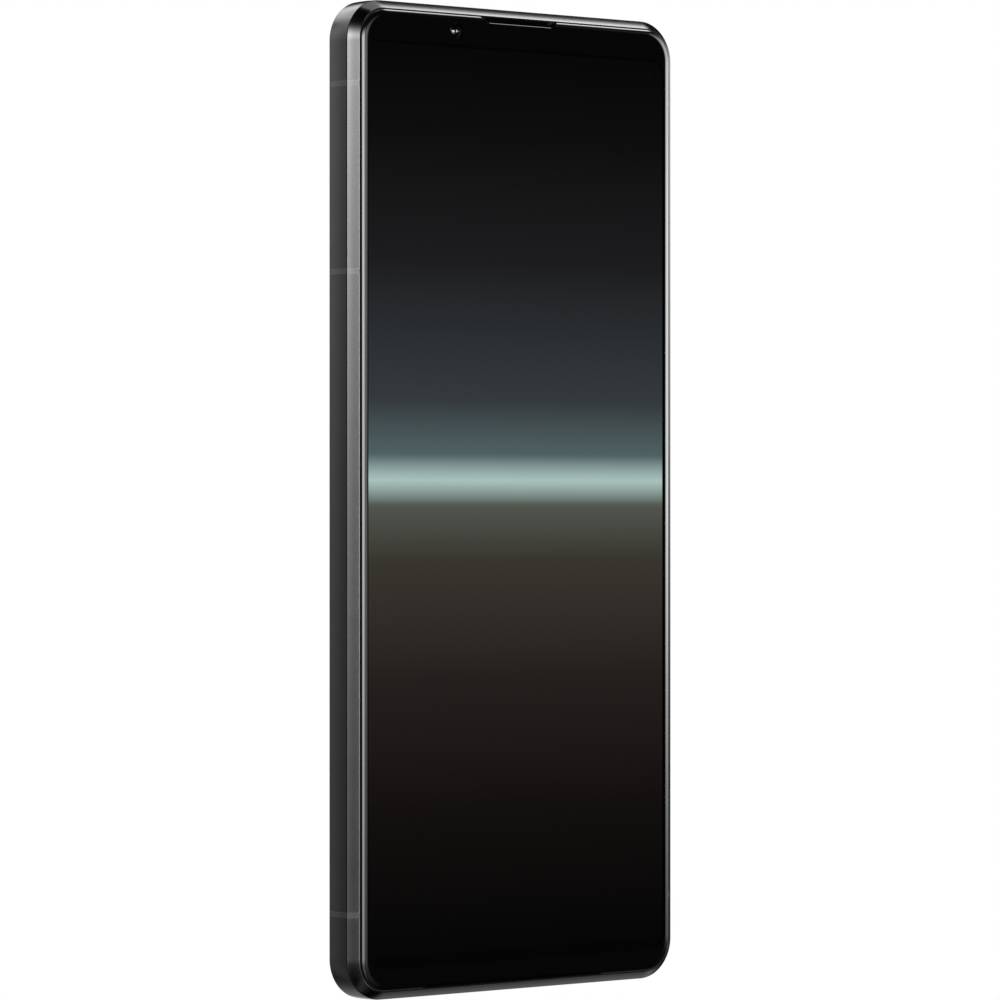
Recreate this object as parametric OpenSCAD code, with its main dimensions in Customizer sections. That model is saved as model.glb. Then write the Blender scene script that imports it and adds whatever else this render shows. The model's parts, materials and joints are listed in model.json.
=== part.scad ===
// Slim upright smartphone, modelled as the pieces it comes apart into.
// Frame of reference: +Z up the long axis, the screen faces -Y, +X is the side
// with the keys, and the origin is at the centre of the bottom edge.

/* [Body] */
// Width across the two side walls
body_w = 67; // [66:0.5:70]
// Height from the bottom edge to the top edge
body_h = 156; // [155:0.5:160]
// Thickness from the screen glass to the rear glass
body_t = 8.2; // [8.2:0.1:8.8]
// Radius of the four corners, seen from the front
corner_r = 6.5; // [6:0.25:8]
// Width of the chamfer between the side wall and the glass
chamfer_w = 1.45; // [1.3:0.05:1.55]
// Depth of the front chamfer
chamfer_d = 1.31; // [1.15:0.05:1.35]
// Width of an antenna break in the side wall
break_w = 0.9; // [0.6:0.1:1.2]

/* [Display] */
// Thickness of the cover glass
glass_t = 0.6; // [0.5:0.05:0.6]
// Width of the ground edge around the cover glass
glass_bevel = 0.9; // [0.6:0.1:1.2]
// Gap between the glass and the side frame, filled by the gasket
edge_gap = 0.2; // [0.15:0.05:0.2]
// Depth of the earpiece notch in the top edge of the glass
ear_notch_d = 0.9; // [0.6:0.1:1]
// Half width of the earpiece notch at its open side
ear_notch_w = 8; // [6:0.5:9]

/* [Rear cameras] */
// Width of the raised camera island
island_w = 11.6; // [11:0.2:12]
// Height of the raised camera island
island_h = 45; // [44:0.5:46]
// How far the island stands out of the rear glass
island_t = 1.1; // [1:0.1:1.6]
// Focus travel of the two focusing lenses
focus_travel = 0.3; // [0.1:0.05:0.3]

/* [Keys] */
// Length of the volume rocker
volume_l = 24; // [20:0.5:26]
// Length of the power key
power_l = 13; // [11:0.5:14]
// Length of the shutter key
shutter_l = 8; // [7:0.5:9]
// How far the volume and shutter keys stand out
key_proud = 0.45; // [0.3:0.05:0.6]

/* [Sockets] */
// Radius of the headphone socket bore
jack_r = 1.8; // [1.78:0.01:1.84]
// Width of the card tray
tray_w = 10.5; // [10:0.1:10.6]

/* [Hidden] */
foot_end = 26.9;
foot_slope = 0.192;
$fn = 48;
arc_n = 8;
hw = body_w / 2;
top = body_h;
grow = body_t - 8.2;
yf = -4.1;
yb = 4.1 + grow;
flat_f = -2.28;
flat_b = 2.14 + grow;
wall = 2.2;
lip_f = flat_f - chamfer_d;
lip_b = flat_b + chamfer_d;
ga = chamfer_w + edge_gap;
midc = -0.07;
cam_x = hw - 11.9;
cam_z = [top - 18.6, top - 30.6, top - 42.6];
isl_z = top - 28.5;
jack_x = -22;
tray_x = 10.6;
vol_z = 125;
pow_z = 90.5;
shut_z = 31;
wall_x = hw - wall;
board_f = -1.70;
board_b = -0.90;
carrier_f = 2.35 + grow;
carrier_b = 2.95 + grow;
top_screws = [[-28.2, top - 46], [-28.2, top - 21.5], [-14.6, top - 9.5], [3.9, top - 47.2], [14.7, top - 47.2]];
low_screws = [[-28.7, 6], [-28, 19.5], [0.8, 19.5], [27, 6], [27, 19.5]];
break_z = [top - 13.3, top - 42.5, 13.6];

// ---------- helpers ----------

// Box between two opposite corners
module block(a, b) translate(a) cube(b - a);

// Rounded rectangle outline, as points
function rrect(w, h, r) = [for (c = [[1, 1, 0], [-1, 1, 90], [-1, -1, 180], [1, -1, 270]])
  for (i = [0:arc_n]) [c[0] * (w / 2 - r) + r * cos(c[2] + i * 90 / arc_n),
                       c[1] * (h / 2 - r) + r * sin(c[2] + i * 90 / arc_n)]];

// Rounded slabs that face along Y, X and Z
module slab_y(w, h, r, x, z, y0, y1) translate([x, y1, z]) rotate([90, 0, 0])
  linear_extrude(y1 - y0) polygon(rrect(w, h, r));
module slab_x(w, h, r, y, z, x0, x1) translate([x0, y, z]) rotate([90, 0, 90])
  linear_extrude(x1 - x0) polygon(rrect(w, h, r));
module slab_z(w, h, r, x, y, z0, z1) translate([x, y, z0])
  linear_extrude(z1 - z0) polygon(rrect(w, h, r));

// Round rods along Y and Z
module rod_y(r, x, z, y0, y1) translate([x, y1, z]) rotate([90, 0, 0]) cylinder(r = r, h = y1 - y0);
module rod_z(r, x, y, z0, z1) translate([x, y, z0]) cylinder(r = r, h = z1 - z0);

// A profile of [distance in from the outer wall, y] carried right round the phone
module around(pts) {
  for (m = [0, 1]) mirror([m, 0, 0])
    translate([-hw, 0, corner_r]) linear_extrude(top - 2 * corner_r) polygon(pts);
  for (m = [0, 1]) translate([0, 0, m * top]) mirror([0, 0, m])
    translate([-(hw - corner_r), 0, 0]) rotate([0, 90, 0])
      linear_extrude(2 * (hw - corner_r)) polygon([for (p = pts) [-p[0], p[1]]]);
  for (k = [0:3])
    translate([(k == 0 || k == 3 ? 1 : -1) * (hw - corner_r), 0, k < 2 ? corner_r : top - corner_r])
      rotate([0, k * 90, 0]) rotate([-90, 0, 0])
        rotate_extrude(angle = 90) polygon([for (p = pts) [corner_r - p[0], p[1]]]);
}

frame_pts = [[0, flat_f], [chamfer_w, lip_f], [chamfer_w, -3.3], [2.55, -3.3], [2.55, -2.6],
  [3.2, -2.6], [3.2, -2.0], [wall, -2.0], [wall, 2.75 + grow], [3.0, 2.75 + grow],
  [3.0, 3.25 + grow], [chamfer_w, 3.25 + grow], [chamfer_w, lip_b], [0, flat_b]];
break_pts = [[0, flat_f], [chamfer_w, lip_f], [chamfer_w, -3.3], [wall, -3.3],
  [wall, 3.25 + grow], [chamfer_w, 3.25 + grow], [chamfer_w, lip_b], [0, flat_b]];

// ---------- frame ----------

module side_frame() color([0.10, 0.10, 0.105]) difference() {
  union() {
    around(frame_pts);
    block([-hw + 3.1, -2.6, 3.1], [hw - 3.1, -2.0, top - 3.1]);
    for (s = top_screws) rod_y(1.5, s[0], s[1], -2.1, board_f);
    for (s = low_screws) rod_y(1.5, s[0], s[1], -2.1, board_f);
  }
  // tapped holes for the board screws
  for (s = top_screws) rod_y(0.65, s[0], s[1], -2.45, board_f + 0.1);
  for (s = low_screws) rod_y(0.65, s[0], s[1], -2.45, board_f + 0.1);
  // antenna breaks
  for (z = break_z) block([-hw - 0.5, -6, z - break_w / 2], [-hw + wall, 8, z + break_w / 2]);
  for (z = [break_z[0], break_z[2]]) block([hw - wall, -6, z - break_w / 2], [hw + 0.5, 8, z + break_w / 2]);
  // headphone socket bore and the pocket behind it
  rod_z(jack_r, jack_x, midc, top - 6, top + 1);
  block([jack_x - 3.4, -2.7, top - 16.2], [jack_x + 3.4, -1.9, top - wall]);
  // card tray: door recess, throat
  slab_z(11.7, 2.3, 1.1, tray_x, midc, top - 0.85, top + 1);
  slab_z(10.8, 1.5, 0.3, tray_x, midc, top - 2.5, top - 0.5);
  // microphone holes
  rod_z(0.45, -9.2, midc, top - 3, top + 1);
  rod_z(0.45, 12, midc, -1, 3);
  // charging socket
  slab_z(9.06, 3.28, 1.6, 0, midc, -1, 3);
  slab_z(9.8, 4.02, 1.9, 0, midc, 1.2, 2.5);
  // side keys
  slab_x(2.3, volume_l + 0.2, 1.1, midc, vol_z, hw - 3, hw + 1);
  slab_x(3.0, power_l + 0.2, 1.4, midc, pow_z, hw - 3, hw + 1);
  slab_x(2.3, shutter_l + 0.2, 1.1, midc, shut_z, hw - 3, hw + 1);
  // earpiece channel, front camera and sensor windows
  block([-5.8, -3.4, top - 4.2], [4.0, -1.9, top - 1.6]);
  block([-14.8, -3.4, top - 6.3], [-10.8, -1.9, top - 2.3]);
  // lower loudspeaker trench and port
  block([-18.6, -3.4, 1.5], [16.4, -2.8, 2.9]);
  block([-18.6, -3.4, 1.5], [-8, -1.2, 3.6]);
  // each bottom corner starts with a short straight bevel, so that the flat it stands on has crisp ends
  for (m = [0, 1]) mirror([m, 0, 0]) translate([0, 8, 0]) rotate([90, 0, 0])
    linear_extrude(16) polygon([[foot_end, 0], [foot_end + 4, 4 * foot_slope], [foot_end + 4, -1], [foot_end, -1]]);
  // display flex recess and slot
  block([2.5, -2.7, 22], [13.5, -2.42, 40.5]);
  block([2.5, -2.7, 22], [13.5, -1.9, 24.2]);
}

module antenna_breaks() color([0.20, 0.20, 0.205]) {
  for (z = break_z) translate([-hw, 0, z - break_w / 2]) linear_extrude(break_w) polygon(break_pts);
  for (z = [break_z[0], break_z[2]]) mirror([1, 0, 0]) translate([-hw, 0, z - break_w / 2])
    linear_extrude(break_w) polygon(break_pts);
}

// ---------- display ----------

module cover_glass() color([0.03, 0.03, 0.035]) difference() {
  union() {
    around([[ga, yf + glass_t], [ga, yf + 0.38], [ga + glass_bevel * 0.2, yf + 0.2],
      [ga + glass_bevel * 0.5, yf + 0.07], [ga + glass_bevel, yf], [corner_r, yf], [corner_r, yf + glass_t]]);
    block([-hw + corner_r, yf, corner_r], [hw - corner_r, yf + glass_t, top - corner_r]);
    for (m = [0, 1]) mirror([m, 0, 0])
      block([0, yf, corner_r], [hw - corner_r, yf + glass_t, top - corner_r]);
  }
  // earpiece notch with slanted ends
  translate([0, yf + 1, 0]) rotate([90, 0, 0]) linear_extrude(2)
    polygon([[-ear_notch_w, top - ga + 0.2], [-ear_notch_w, top - ga], [-ear_notch_w + 1.5, top - ga - ear_notch_d],
             [ear_notch_w - 1.5, top - ga - ear_notch_d], [ear_notch_w, top - ga], [ear_notch_w, top - ga + 0.2]]);
  // loudspeaker slot with slanted ends
  translate([0, yf + 1, 0]) rotate([90, 0, 0]) linear_extrude(2)
    polygon([[-19.3, ga - 0.2], [-19.3, ga], [-18.7, ga + 0.5], [16.4, ga + 0.5], [17, ga], [17, ga - 0.2]]);
}

module display_gasket() color([0.04, 0.04, 0.04]) difference() {
  around([[chamfer_w, -3.3], [chamfer_w, -3.52], [chamfer_w + 0.02, -3.66], [ga - 0.02, -3.66], [ga - 0.01, -3.5], [2.5, -3.5], [2.5, -3.3]]);
  block([-8.2, -4, top - 3], [8.2, -3, top]);
  block([-19.5, -4, 0], [17.2, -3, 3]);
}

module oled_panel() color([0.05, 0.06, 0.07])
  slab_y(2 * (hw - 2.75), top - 11.2, 3.4, 0, (top - 11.2) / 2 + 4.9, yf + glass_t, -2.85);

module display_backing() color([0.55, 0.38, 0.25])
  slab_y(2 * (hw - 3.6), top - 15, 2.5, 0, (top - 15) / 2 + 6.2, -2.85, -2.65);

module display_flex() color([0.62, 0.40, 0.12]) {
  block([3, -2.65, 23], [13, -2.53, 40]);
  block([3, -2.65, 22.85], [13, -1.87, 23]);
  block([3, -1.99, 12], [13, -1.87, 22.85]);
  block([4, -1.87, 12], [12, board_f, 15]);
}

module front_camera() color([0.06, 0.06, 0.07]) difference() {
  union() {
    block([-14.5, -2.7, top - 6.1], [-11.1, -0.2, top - 2.6]);
    rod_y(1.35, -12.8, top - 4.3, -3.46, -2.7);
  }
  translate([-12.8, -3.5, top - 4.3]) rotate([-90, 0, 0]) cylinder(r1 = 0.95, r2 = 0.55, h = 0.6);
}

module proximity_sensor() color([0.10, 0.08, 0.10]) difference() {
  block([9.6, -3.42, top - 5.9], [13.2, -2.62, top - 3.4]);
  rod_y(0.45, 10.6, top - 4.65, -3.6, -3.1);
  rod_y(0.45, 12.2, top - 4.65, -3.6, -3.1);
}

// ---------- sound ----------

module earpiece_receiver() color([0.55, 0.56, 0.58]) {
  difference() {
    block([-7, -1.95, top - 7.7], [4.6, 0.6, top - 2.4]);
    block([-6.6, -1.6, top - 7.3], [4.2, 0.3, top - 2.8]);
    block([-4, -2.1, top - 4.1], [2, -1.5, top - 3.1]);
  }
  difference() {
    rod_y(1.9, -1.2, top - 5.05, -0.85, 0.3);
    difference() {
      rod_y(1.3, -1.2, top - 5.05, -1, -0.3);
      rod_y(0.7, -1.2, top - 5.05, -1.1, -0.2);
    }
  }
}

module receiver_cone() color([0.75, 0.72, 0.65]) {
  slab_y(8.8, 3.6, 0.8, -1.2, top - 5.05, -1.2, -1.1);
  difference() {
    rod_y(1.12, -1.2, top - 5.05, -1.15, -0.6);
    rod_y(0.88, -1.2, top - 5.05, -1.1, -0.5);
  }
}

module earpiece_mesh() color([0.05, 0.05, 0.05]) difference() {
  block([-6.4, -3.5, top - 2.5], [6.4, -3.3, top - 1.55]);
  for (i = [-19:19]) block([i * 0.32 - 0.09, -3.6, top - 2.3], [i * 0.32 + 0.09, -3.2, top - 1.75]);
}

module loudspeaker_box() color([0.12, 0.12, 0.13]) difference() {
  block([-27, board_b + 0.05, 3.7], [-6.5, 2.3 + grow, 18]);
  block([-26.4, -0.5, 4.3], [-7.1, 1.8 + grow, 17.4]);
  block([-16, -1.2, 3.2], [-9, -0.4, 5.2]);
}

module loudspeaker_magnet() color([0.5, 0.5, 0.52]) difference() {
  rod_y(4.6, -16.6, 11, 0.4, 1.8 + grow);
  difference() {
    rod_y(3.2, -16.6, 11, 0.2, 1.4);
    rod_y(2.3, -16.6, 11, 0.1, 1.5);
  }
}

module loudspeaker_cone() color([0.8, 0.8, 0.78]) {
  slab_y(15, 10.5, 2.5, -16.6, 11, -0.15, 0);
  difference() {
    rod_y(2.9, -16.6, 11, -0.05, 1.0);
    rod_y(2.6, -16.6, 11, 0, 1.1);
  }
}

module loudspeaker_mesh() color([0.05, 0.05, 0.05]) difference() {
  block([-18.5, -3.5, 1.55], [16.3, -3.3, 2.4]);
  for (i = [-56:48]) block([i * 0.32 - 0.07, -3.6, 1.75], [i * 0.32 + 0.07, -3.2, 2.2]);
}

module microphones() color([0.80, 0.72, 0.45]) {
  difference() {
    block([-10.6, -1.2, top - 4.6], [-7.8, 1.0, top - 2.25]);
    rod_z(0.45, -9.2, midc, top - 3.4, top);
  }
  difference() {
    block([10.6, -0.85, 2.3], [13.4, 0.9, 4.4]);
    rod_z(0.45, 12, midc, 1, 3.2);
  }
}

// ---------- boards ----------

module main_board() color([0.05, 0.22, 0.13]) difference() {
  translate([0, board_b, 0]) rotate([90, 0, 0]) linear_extrude(board_b - board_f)
    polygon([[-wall_x + 0.6, top - 49.5], [16.4, top - 49.5], [16.4, top - 8], [-17.6, top - 8],
             [-17.6, top - 16.6], [-wall_x + 0.6, top - 16.6]]);
  for (s = top_screws) rod_y(0.8, s[0], s[1], -3, 1);
}

module shield_cans() color([0.72, 0.73, 0.75])
  for (c = [[-26, -17.6, top - 43.5, top - 24.2], [-16.2, 2, top - 44, top - 30], [-16.2, 3, top - 28.6, top - 12.4], [6, 16, top - 44.5, top - 21]])
    difference() {
      block([c[0], board_b, c[2]], [c[1], 0.9, c[3]]);
      block([c[0] + 0.2, board_b - 1, c[2] + 0.2], [c[1] - 0.2, 0.7, c[3] - 0.2]);
    }

module logic_chips() color([0.07, 0.07, 0.08])
  for (c = [[-14.2, 0, top - 42.5, top - 31.5, 0.3], [-25, -18.6, top - 42, top - 35, 0.1], [-25, -18.6, top - 33, top - 26, 0],
            [-14, -4, top - 27, top - 15, 0.1], [7.2, 14.8, top - 43, top - 33, 0.2], [7.2, 14.8, top - 31, top - 23, 0]])
    block([c[0], board_b, c[2]], [c[1], c[4], c[3]]);

module heat_spreader() color([0.72, 0.42, 0.25])
  slab_y(30, 26, 2, -5, top - 32, -2.0, board_f);

module sub_board() color([0.05, 0.22, 0.13]) difference() {
  slab_y(2 * hw - 8.3, 19.1, 3.3, -0.85, 12.45, board_f, board_b);
  block([-4.9, -3, 2], [4.9, 0, 8.2]);
  for (s = low_screws) rod_y(0.8, s[0], s[1], -3, 1);
}

module main_flex() color([0.62, 0.40, 0.12]) {
  block([-12, -1.99, 18], [-1.5, -1.87, top - 47.4]);
  block([-11, -1.87, 18.4], [-7.4, board_f, 21]);
  block([-11, -1.87, top - 49.4], [-2.5, board_f, top - 47.6]);
}

module coax_cable() color([0.12, 0.12, 0.14]) {
  rod_z(0.4, -hw + 3.3, -0.45, 14, top - 40);
  rod_y(1.0, -hw + 4.3, 13, board_b, -0.35);
  rod_y(1.0, -hw + 4.3, top - 39, board_b, -0.35);
}

// ---------- card tray ----------

module card_reader() color([0.75, 0.76, 0.78]) difference() {
  block([tray_x - 5.75, board_b, top - 19.5], [tray_x + 5.75, 0.78, top - 2.3]);
  block([tray_x - 5.45, -0.77, top - 18.9], [tray_x + 5.45, 0.63, top - 2]);
}

module sim_tray() color([0.10, 0.10, 0.105]) difference() {
  union() {
    slab_z(11.6, 2.2, 1.05, tray_x, midc, top - 0.75, top);
    block([tray_x - 5.0, midc - 0.35, top - 2.4], [tray_x + 5.0, midc + 0.35, top - 0.7]);
    block([tray_x - tray_w / 2, midc - 0.6, top - 18.4], [tray_x + tray_w / 2, midc + 0.6, top - 2.3]);
  }
  // card pockets on both faces
  block([tray_x - 4.45, midc - 1, top - 17.2], [tray_x + 4.45, midc - 0.12, top - 4.8]);
  block([tray_x - 4.45, midc + 0.12, top - 17.2], [tray_x + 4.45, midc + 1, top - 4.8]);
  // finger-nail notch in the end of the door
  block([tray_x + 4.6, midc - 1.3, top - 0.45], [tray_x + 5.3, midc - 0.55, top + 0.1]);
}

module tray_seal() color([0.55, 0.10, 0.10]) difference() {
  slab_z(10.74, 1.44, 0.5, tray_x, midc, top - 2.0, top - 1.1);
  block([tray_x - 5.0, midc - 0.35, top - 3], [tray_x + 5.0, midc + 0.35, top]);
}

// ---------- sockets ----------

module audio_jack() color([0.13, 0.13, 0.14]) difference() {
  block([jack_x - 3.1, -2.42, top - 16], [jack_x + 3.1, 2.3, top - wall - 0.05]);
  rod_z(jack_r, jack_x, midc, top - 15, top + 1);
  for (c = [[2.2, 4.4], [6.2, 8.2], [9.8, 11.6]])
    block([jack_x + 1.2, midc - 0.5, top - wall - c[1]], [jack_x + 3.2, midc + 0.5, top - wall - c[0]]);
}

module jack_contacts() color([0.85, 0.70, 0.35])
  for (c = [[2.3, 4.3], [6.3, 8.1], [9.9, 11.5]])
    block([jack_x + 1.95, midc - 0.4, top - wall - c[1]], [jack_x + 2.25, midc + 0.4, top - wall - c[0]]);

module usb_shell() color([0.70, 0.71, 0.73]) difference() {
  slab_z(8.94, 3.16, 1.56, 0, midc, 0.25, 7.6);
  slab_z(8.34, 2.56, 1.26, 0, midc, 0, 7.0);
}

module usb_tongue() color([0.08, 0.08, 0.09]) {
  block([-3.35, midc - 0.35, 1.3], [3.35, midc + 0.35, 7.0]);
  block([-3.4, midc - 0.9, 6.2], [3.4, midc + 0.9, 7.0]);
}

module usb_seal() color([0.55, 0.10, 0.10]) difference() {
  slab_z(9.7, 3.92, 1.85, 0, midc, 1.3, 2.1);
  slab_z(8.96, 3.18, 1.57, 0, midc, 1, 3);
}

// ---------- haptics ----------

module vibration_case() color([0.74, 0.75, 0.77]) difference() {
  block([9, board_b, 5.2], [24, 2.25, 14.8]);
  block([9.3, -0.6, 5.5], [23.7, 1.95, 14.5]);
}

module vibration_mass() color([0.35, 0.36, 0.38])
  slab_y(12.6, 8.2, 0.8, 16.5, 10, -0.35, 1.7);

// ---------- battery ----------

module battery() color([0.78, 0.79, 0.80])
  translate([0, 0, 24.5]) linear_extrude(top - 76)
    polygon([[-28.4, -1.1], [-27.7, -1.84], [27.7, -1.84], [28.4, -1.1], [28.4, 1.8 + grow],
             [27.7, 2.5 + grow], [-27.7, 2.5 + grow], [-28.4, 1.8 + grow]]);

module battery_adhesive() color([0.9, 0.9, 0.85])
  for (x = [-20, 20]) block([x - 4, -1.995, 30], [x + 4, -1.84, top - 56]);

module battery_flex() color([0.62, 0.40, 0.12]) {
  block([-4.9, -0.5, top - 51.5], [0.9, -0.38, top - 47.4]);
  block([-4.6, board_b, top - 49.3], [0.6, -0.5, top - 47.5]);
}

module ferrite_sheet() color([0.20, 0.20, 0.21])
  slab_y(50, 50, 3, 0, 70, 2.56 + grow, 2.76 + grow);

module charging_coil() color([0.78, 0.48, 0.28])
  for (i = [0:4]) difference() {
    rod_y(22 - i * 2.2, 0, 70, 2.76 + grow, 3.04 + grow);
    rod_y(22 - i * 2.2 - 1.9, 0, 70, 2.6 + grow, 3.2 + grow);
  }

// ---------- side keys ----------

module volume_key() color([0.10, 0.10, 0.105]) {
  slab_x(2.14, volume_l, 1.02, midc, vol_z, hw - 2.3, hw + key_proud);
  block([hw - 2.7, midc - 1.5, vol_z - 2.5], [hw - 2.3, midc + 1.5, vol_z + 2.5]);
  for (s = [-1, 1]) slab_x(1.4, 1.8, 0.6, midc, vol_z + s * (volume_l / 2 - 3), hw - 2.95, hw - 2.3);
}

module power_key() color([0.10, 0.10, 0.105]) difference() {
  union() {
    slab_x(2.84, power_l, 1.35, midc, pow_z, hw - 2.35, hw - 0.2);
    block([hw - 2.7, midc - 1.3, pow_z - power_l / 2 - 0.6], [hw - 2.35, midc + 1.3, pow_z + power_l / 2 + 0.6]);
    slab_x(1.4, 1.8, 0.6, midc, pow_z, hw - 2.95, hw - 2.7);
  }
  slab_x(2.2, power_l - 0.7, 1.05, midc, pow_z, hw - 0.5, hw);
}

module fingerprint_sensor() color([0.05, 0.05, 0.055])
  slab_x(2.16, power_l - 0.74, 1.03, midc, pow_z, hw - 0.5, hw - 0.24);

module shutter_key() color([0.10, 0.10, 0.105]) {
  slab_x(2.14, shutter_l, 1.02, midc, shut_z, hw - 2.35, hw + key_proud);
  block([hw - 2.7, midc - 1.0, shut_z - shutter_l / 2 - 0.6], [hw - 2.35, midc + 1.0, shut_z + shutter_l / 2 + 0.6]);
  slab_x(1.4, 1.8, 0.6, midc, shut_z, hw - 2.95, hw - 2.7);
}

module key_brackets() color([0.75, 0.76, 0.78])
  for (k = [[vol_z, volume_l], [pow_z, power_l], [shut_z, shutter_l]])
    block([hw - 4.55, midc - 1.7, k[0] - k[1] / 2 - 1], [hw - 4.25, midc + 1.9, k[0] + k[1] / 2 + 1]);

module key_flex() color([0.62, 0.40, 0.12])
  block([hw - 4.25, midc - 1.5, shut_z - 4], [hw - 4.1, midc + 1.5, vol_z + volume_l / 2]);

module dome_switches() color([0.80, 0.78, 0.70]) {
  for (k = [[vol_z - volume_l / 2 + 3, 0.75], [vol_z + volume_l / 2 - 3, 0.75], [pow_z, 0.75], [shut_z, 0.6]])
    translate([hw - 4.1, midc, k[0]]) rotate([0, 90, 0]) {
      cylinder(r = 1.45, h = k[1] - 0.2);
      translate([0, 0, k[1] - 0.2]) cylinder(r1 = 1.1, r2 = 0.6, h = 0.2);
    }
}

// ---------- antenna carriers and screws ----------

module top_antenna_carrier() color([0.12, 0.12, 0.13]) difference() {
  union() {
    slab_y(2 * hw - 6.2, 45.6, 3.3, 0, top - 26.2, carrier_f, carrier_b);
    for (s = top_screws) rod_y(1.5, s[0], s[1], board_b, carrier_f + 0.1);
  }
  block([cam_x - 5.2, 0, top - 50], [cam_x + 5.2, 5, top - 5.5]);
  for (s = top_screws) {
    rod_y(0.8, s[0], s[1], -2, 5);
    rod_y(1.25, s[0], s[1], carrier_b - 0.45, 5);
  }
}

module bottom_antenna_carrier() color([0.12, 0.12, 0.13]) difference() {
  union() {
    slab_y(2 * hw - 6.2, 19.8, 3.3, 0, 13.1, carrier_f, carrier_b);
    for (s = low_screws) rod_y(1.5, s[0], s[1], board_b, carrier_f + 0.1);
  }
  for (s = low_screws) {
    rod_y(0.8, s[0], s[1], -2, 5);
    rod_y(1.25, s[0], s[1], carrier_b - 0.45, 5);
  }
}

module screws() color([0.70, 0.70, 0.72])
  for (s = concat(top_screws, low_screws)) difference() {
    union() {
      rod_y(0.6, s[0], s[1], -2.4, carrier_b - 0.4);
      rod_y(1.15, s[0], s[1], carrier_b - 0.45, carrier_b - 0.02);
    }
    for (a = [0, 90]) translate([s[0], carrier_b, s[1]]) rotate([0, a, 0])
      cube([1.3, 0.5, 0.3], center = true);
  }

// ---------- rear ----------

module rear_adhesive() color([0.05, 0.05, 0.05])
  around([[ga, 3.25 + grow], [2.95, 3.25 + grow], [2.95, yb - 0.6], [ga, yb - 0.6]]);

module rear_cover() color([0.03, 0.03, 0.035]) difference() {
  union() {
    around([[ga, yb - 0.6], [ga, yb - 0.38], [ga + glass_bevel * 0.2, yb - 0.2],
      [ga + glass_bevel * 0.5, yb - 0.07], [ga + glass_bevel, yb], [corner_r, yb], [corner_r, yb - 0.6]]);
    block([-hw + corner_r, yb - 0.6, corner_r], [hw - corner_r, yb, top - corner_r]);
  }
  slab_y(island_w + 0.2, island_h + 0.2, 4.3, cam_x, isl_z, 3, 6);
}

module camera_bezel() color([0.10, 0.10, 0.105]) difference() {
  slab_y(island_w, island_h, 4.2, cam_x, isl_z, yb - 0.6, yb + island_t - 0.1);
  slab_y(9.4, island_h - 2.2, 3.1, cam_x, isl_z, 3, 7);
  slab_y(10.5, island_h - 1.1, 3.65, cam_x, isl_z, yb + island_t - 0.6, 7);
}

module camera_window() color([0.04, 0.04, 0.05])
  slab_y(10.4, island_h - 1.2, 3.6, cam_x, isl_z, yb + island_t - 0.6, yb + island_t - 0.14);

module camera_body(w, r, z, deep) difference() {
  block([cam_x - w / 2, -1.9, z - w / 2], [cam_x + w / 2, 3.2, z + w / 2]);
  rod_y(r + 0.12, cam_x, z, deep, 5);
}

module lens_barrel(r, z) difference() {
  rod_y(r, cam_x, z, 0.6, 4.15);
  translate([cam_x, 4.16, z]) rotate([90, 0, 0]) cylinder(r1 = r - 0.35, r2 = r * 0.42, h = 1.5);
  rod_y(r * 0.42, cam_x, z, 1.2, 3);
}

module ultrawide_camera() color([0.10, 0.10, 0.11]) union() {
  block([cam_x - 4.1, -1.9, cam_z[0] - 4.1], [cam_x + 4.1, 3.2, cam_z[0] + 4.1]);
  difference() {
    rod_y(2.6, cam_x, cam_z[0], 3.1, 4.3);
    translate([cam_x, 4.31, cam_z[0]]) rotate([90, 0, 0]) cylinder(r1 = 2.2, r2 = 1.0, h = 1.1);
  }
}

module main_camera_housing() color([0.50, 0.51, 0.53]) camera_body(9.2, 3.2, cam_z[1], 0.2);
module main_camera_lens() color([0.08, 0.08, 0.09]) lens_barrel(3.2, cam_z[1]);
module tele_camera_housing() color([0.50, 0.51, 0.53]) camera_body(8.6, 2.8, cam_z[2], 0.2);
module tele_camera_lens() color([0.08, 0.08, 0.09]) lens_barrel(2.8, cam_z[2]);

module flash_module() color([0.90, 0.86, 0.55]) {
  block([cam_x - 4.3, 2.4, top - 13.6], [cam_x + 4.3, 2.8, top - 7]);
  rod_y(1.7, cam_x + 1.9, top - 10, 2.7, 4.35);
  rod_y(0.9, cam_x - 2.2, top - 10, 2.7, 4.35);
}

module lens_trim_rings() color([0.35, 0.35, 0.37])
  for (k = [[0, 2.75], [1, 3.3], [2, 2.95]]) difference() {
    rod_y(4.3, cam_x, cam_z[k[0]], yb + island_t - 0.72, yb + island_t - 0.6);
    rod_y(k[1], cam_x, cam_z[k[0]], 3, 6);
  }

side_frame();
antenna_breaks();
cover_glass();
display_gasket();
oled_panel();
display_backing();
display_flex();
front_camera();
earpiece_receiver();
receiver_cone();
earpiece_mesh();
proximity_sensor();
loudspeaker_box();
loudspeaker_magnet();
loudspeaker_cone();
loudspeaker_mesh();
main_board();
shield_cans();
logic_chips();
heat_spreader();
card_reader();
sim_tray();
tray_seal();
audio_jack();
jack_contacts();
sub_board();
usb_shell();
usb_tongue();
usb_seal();
microphones();
vibration_case();
vibration_mass();
battery();
battery_adhesive();
battery_flex();
main_flex();
coax_cable();
volume_key();
power_key();
fingerprint_sensor();
shutter_key();
key_brackets();
key_flex();
dome_switches();
ferrite_sheet();
charging_coil();
top_antenna_carrier();
bottom_antenna_carrier();
screws();
rear_adhesive();
rear_cover();
camera_bezel();
camera_window();
ultrawide_camera();
main_camera_housing();
main_camera_lens();
tele_camera_housing();
tele_camera_lens();
flash_module();
lens_trim_rings();
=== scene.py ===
import json
import math

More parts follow.
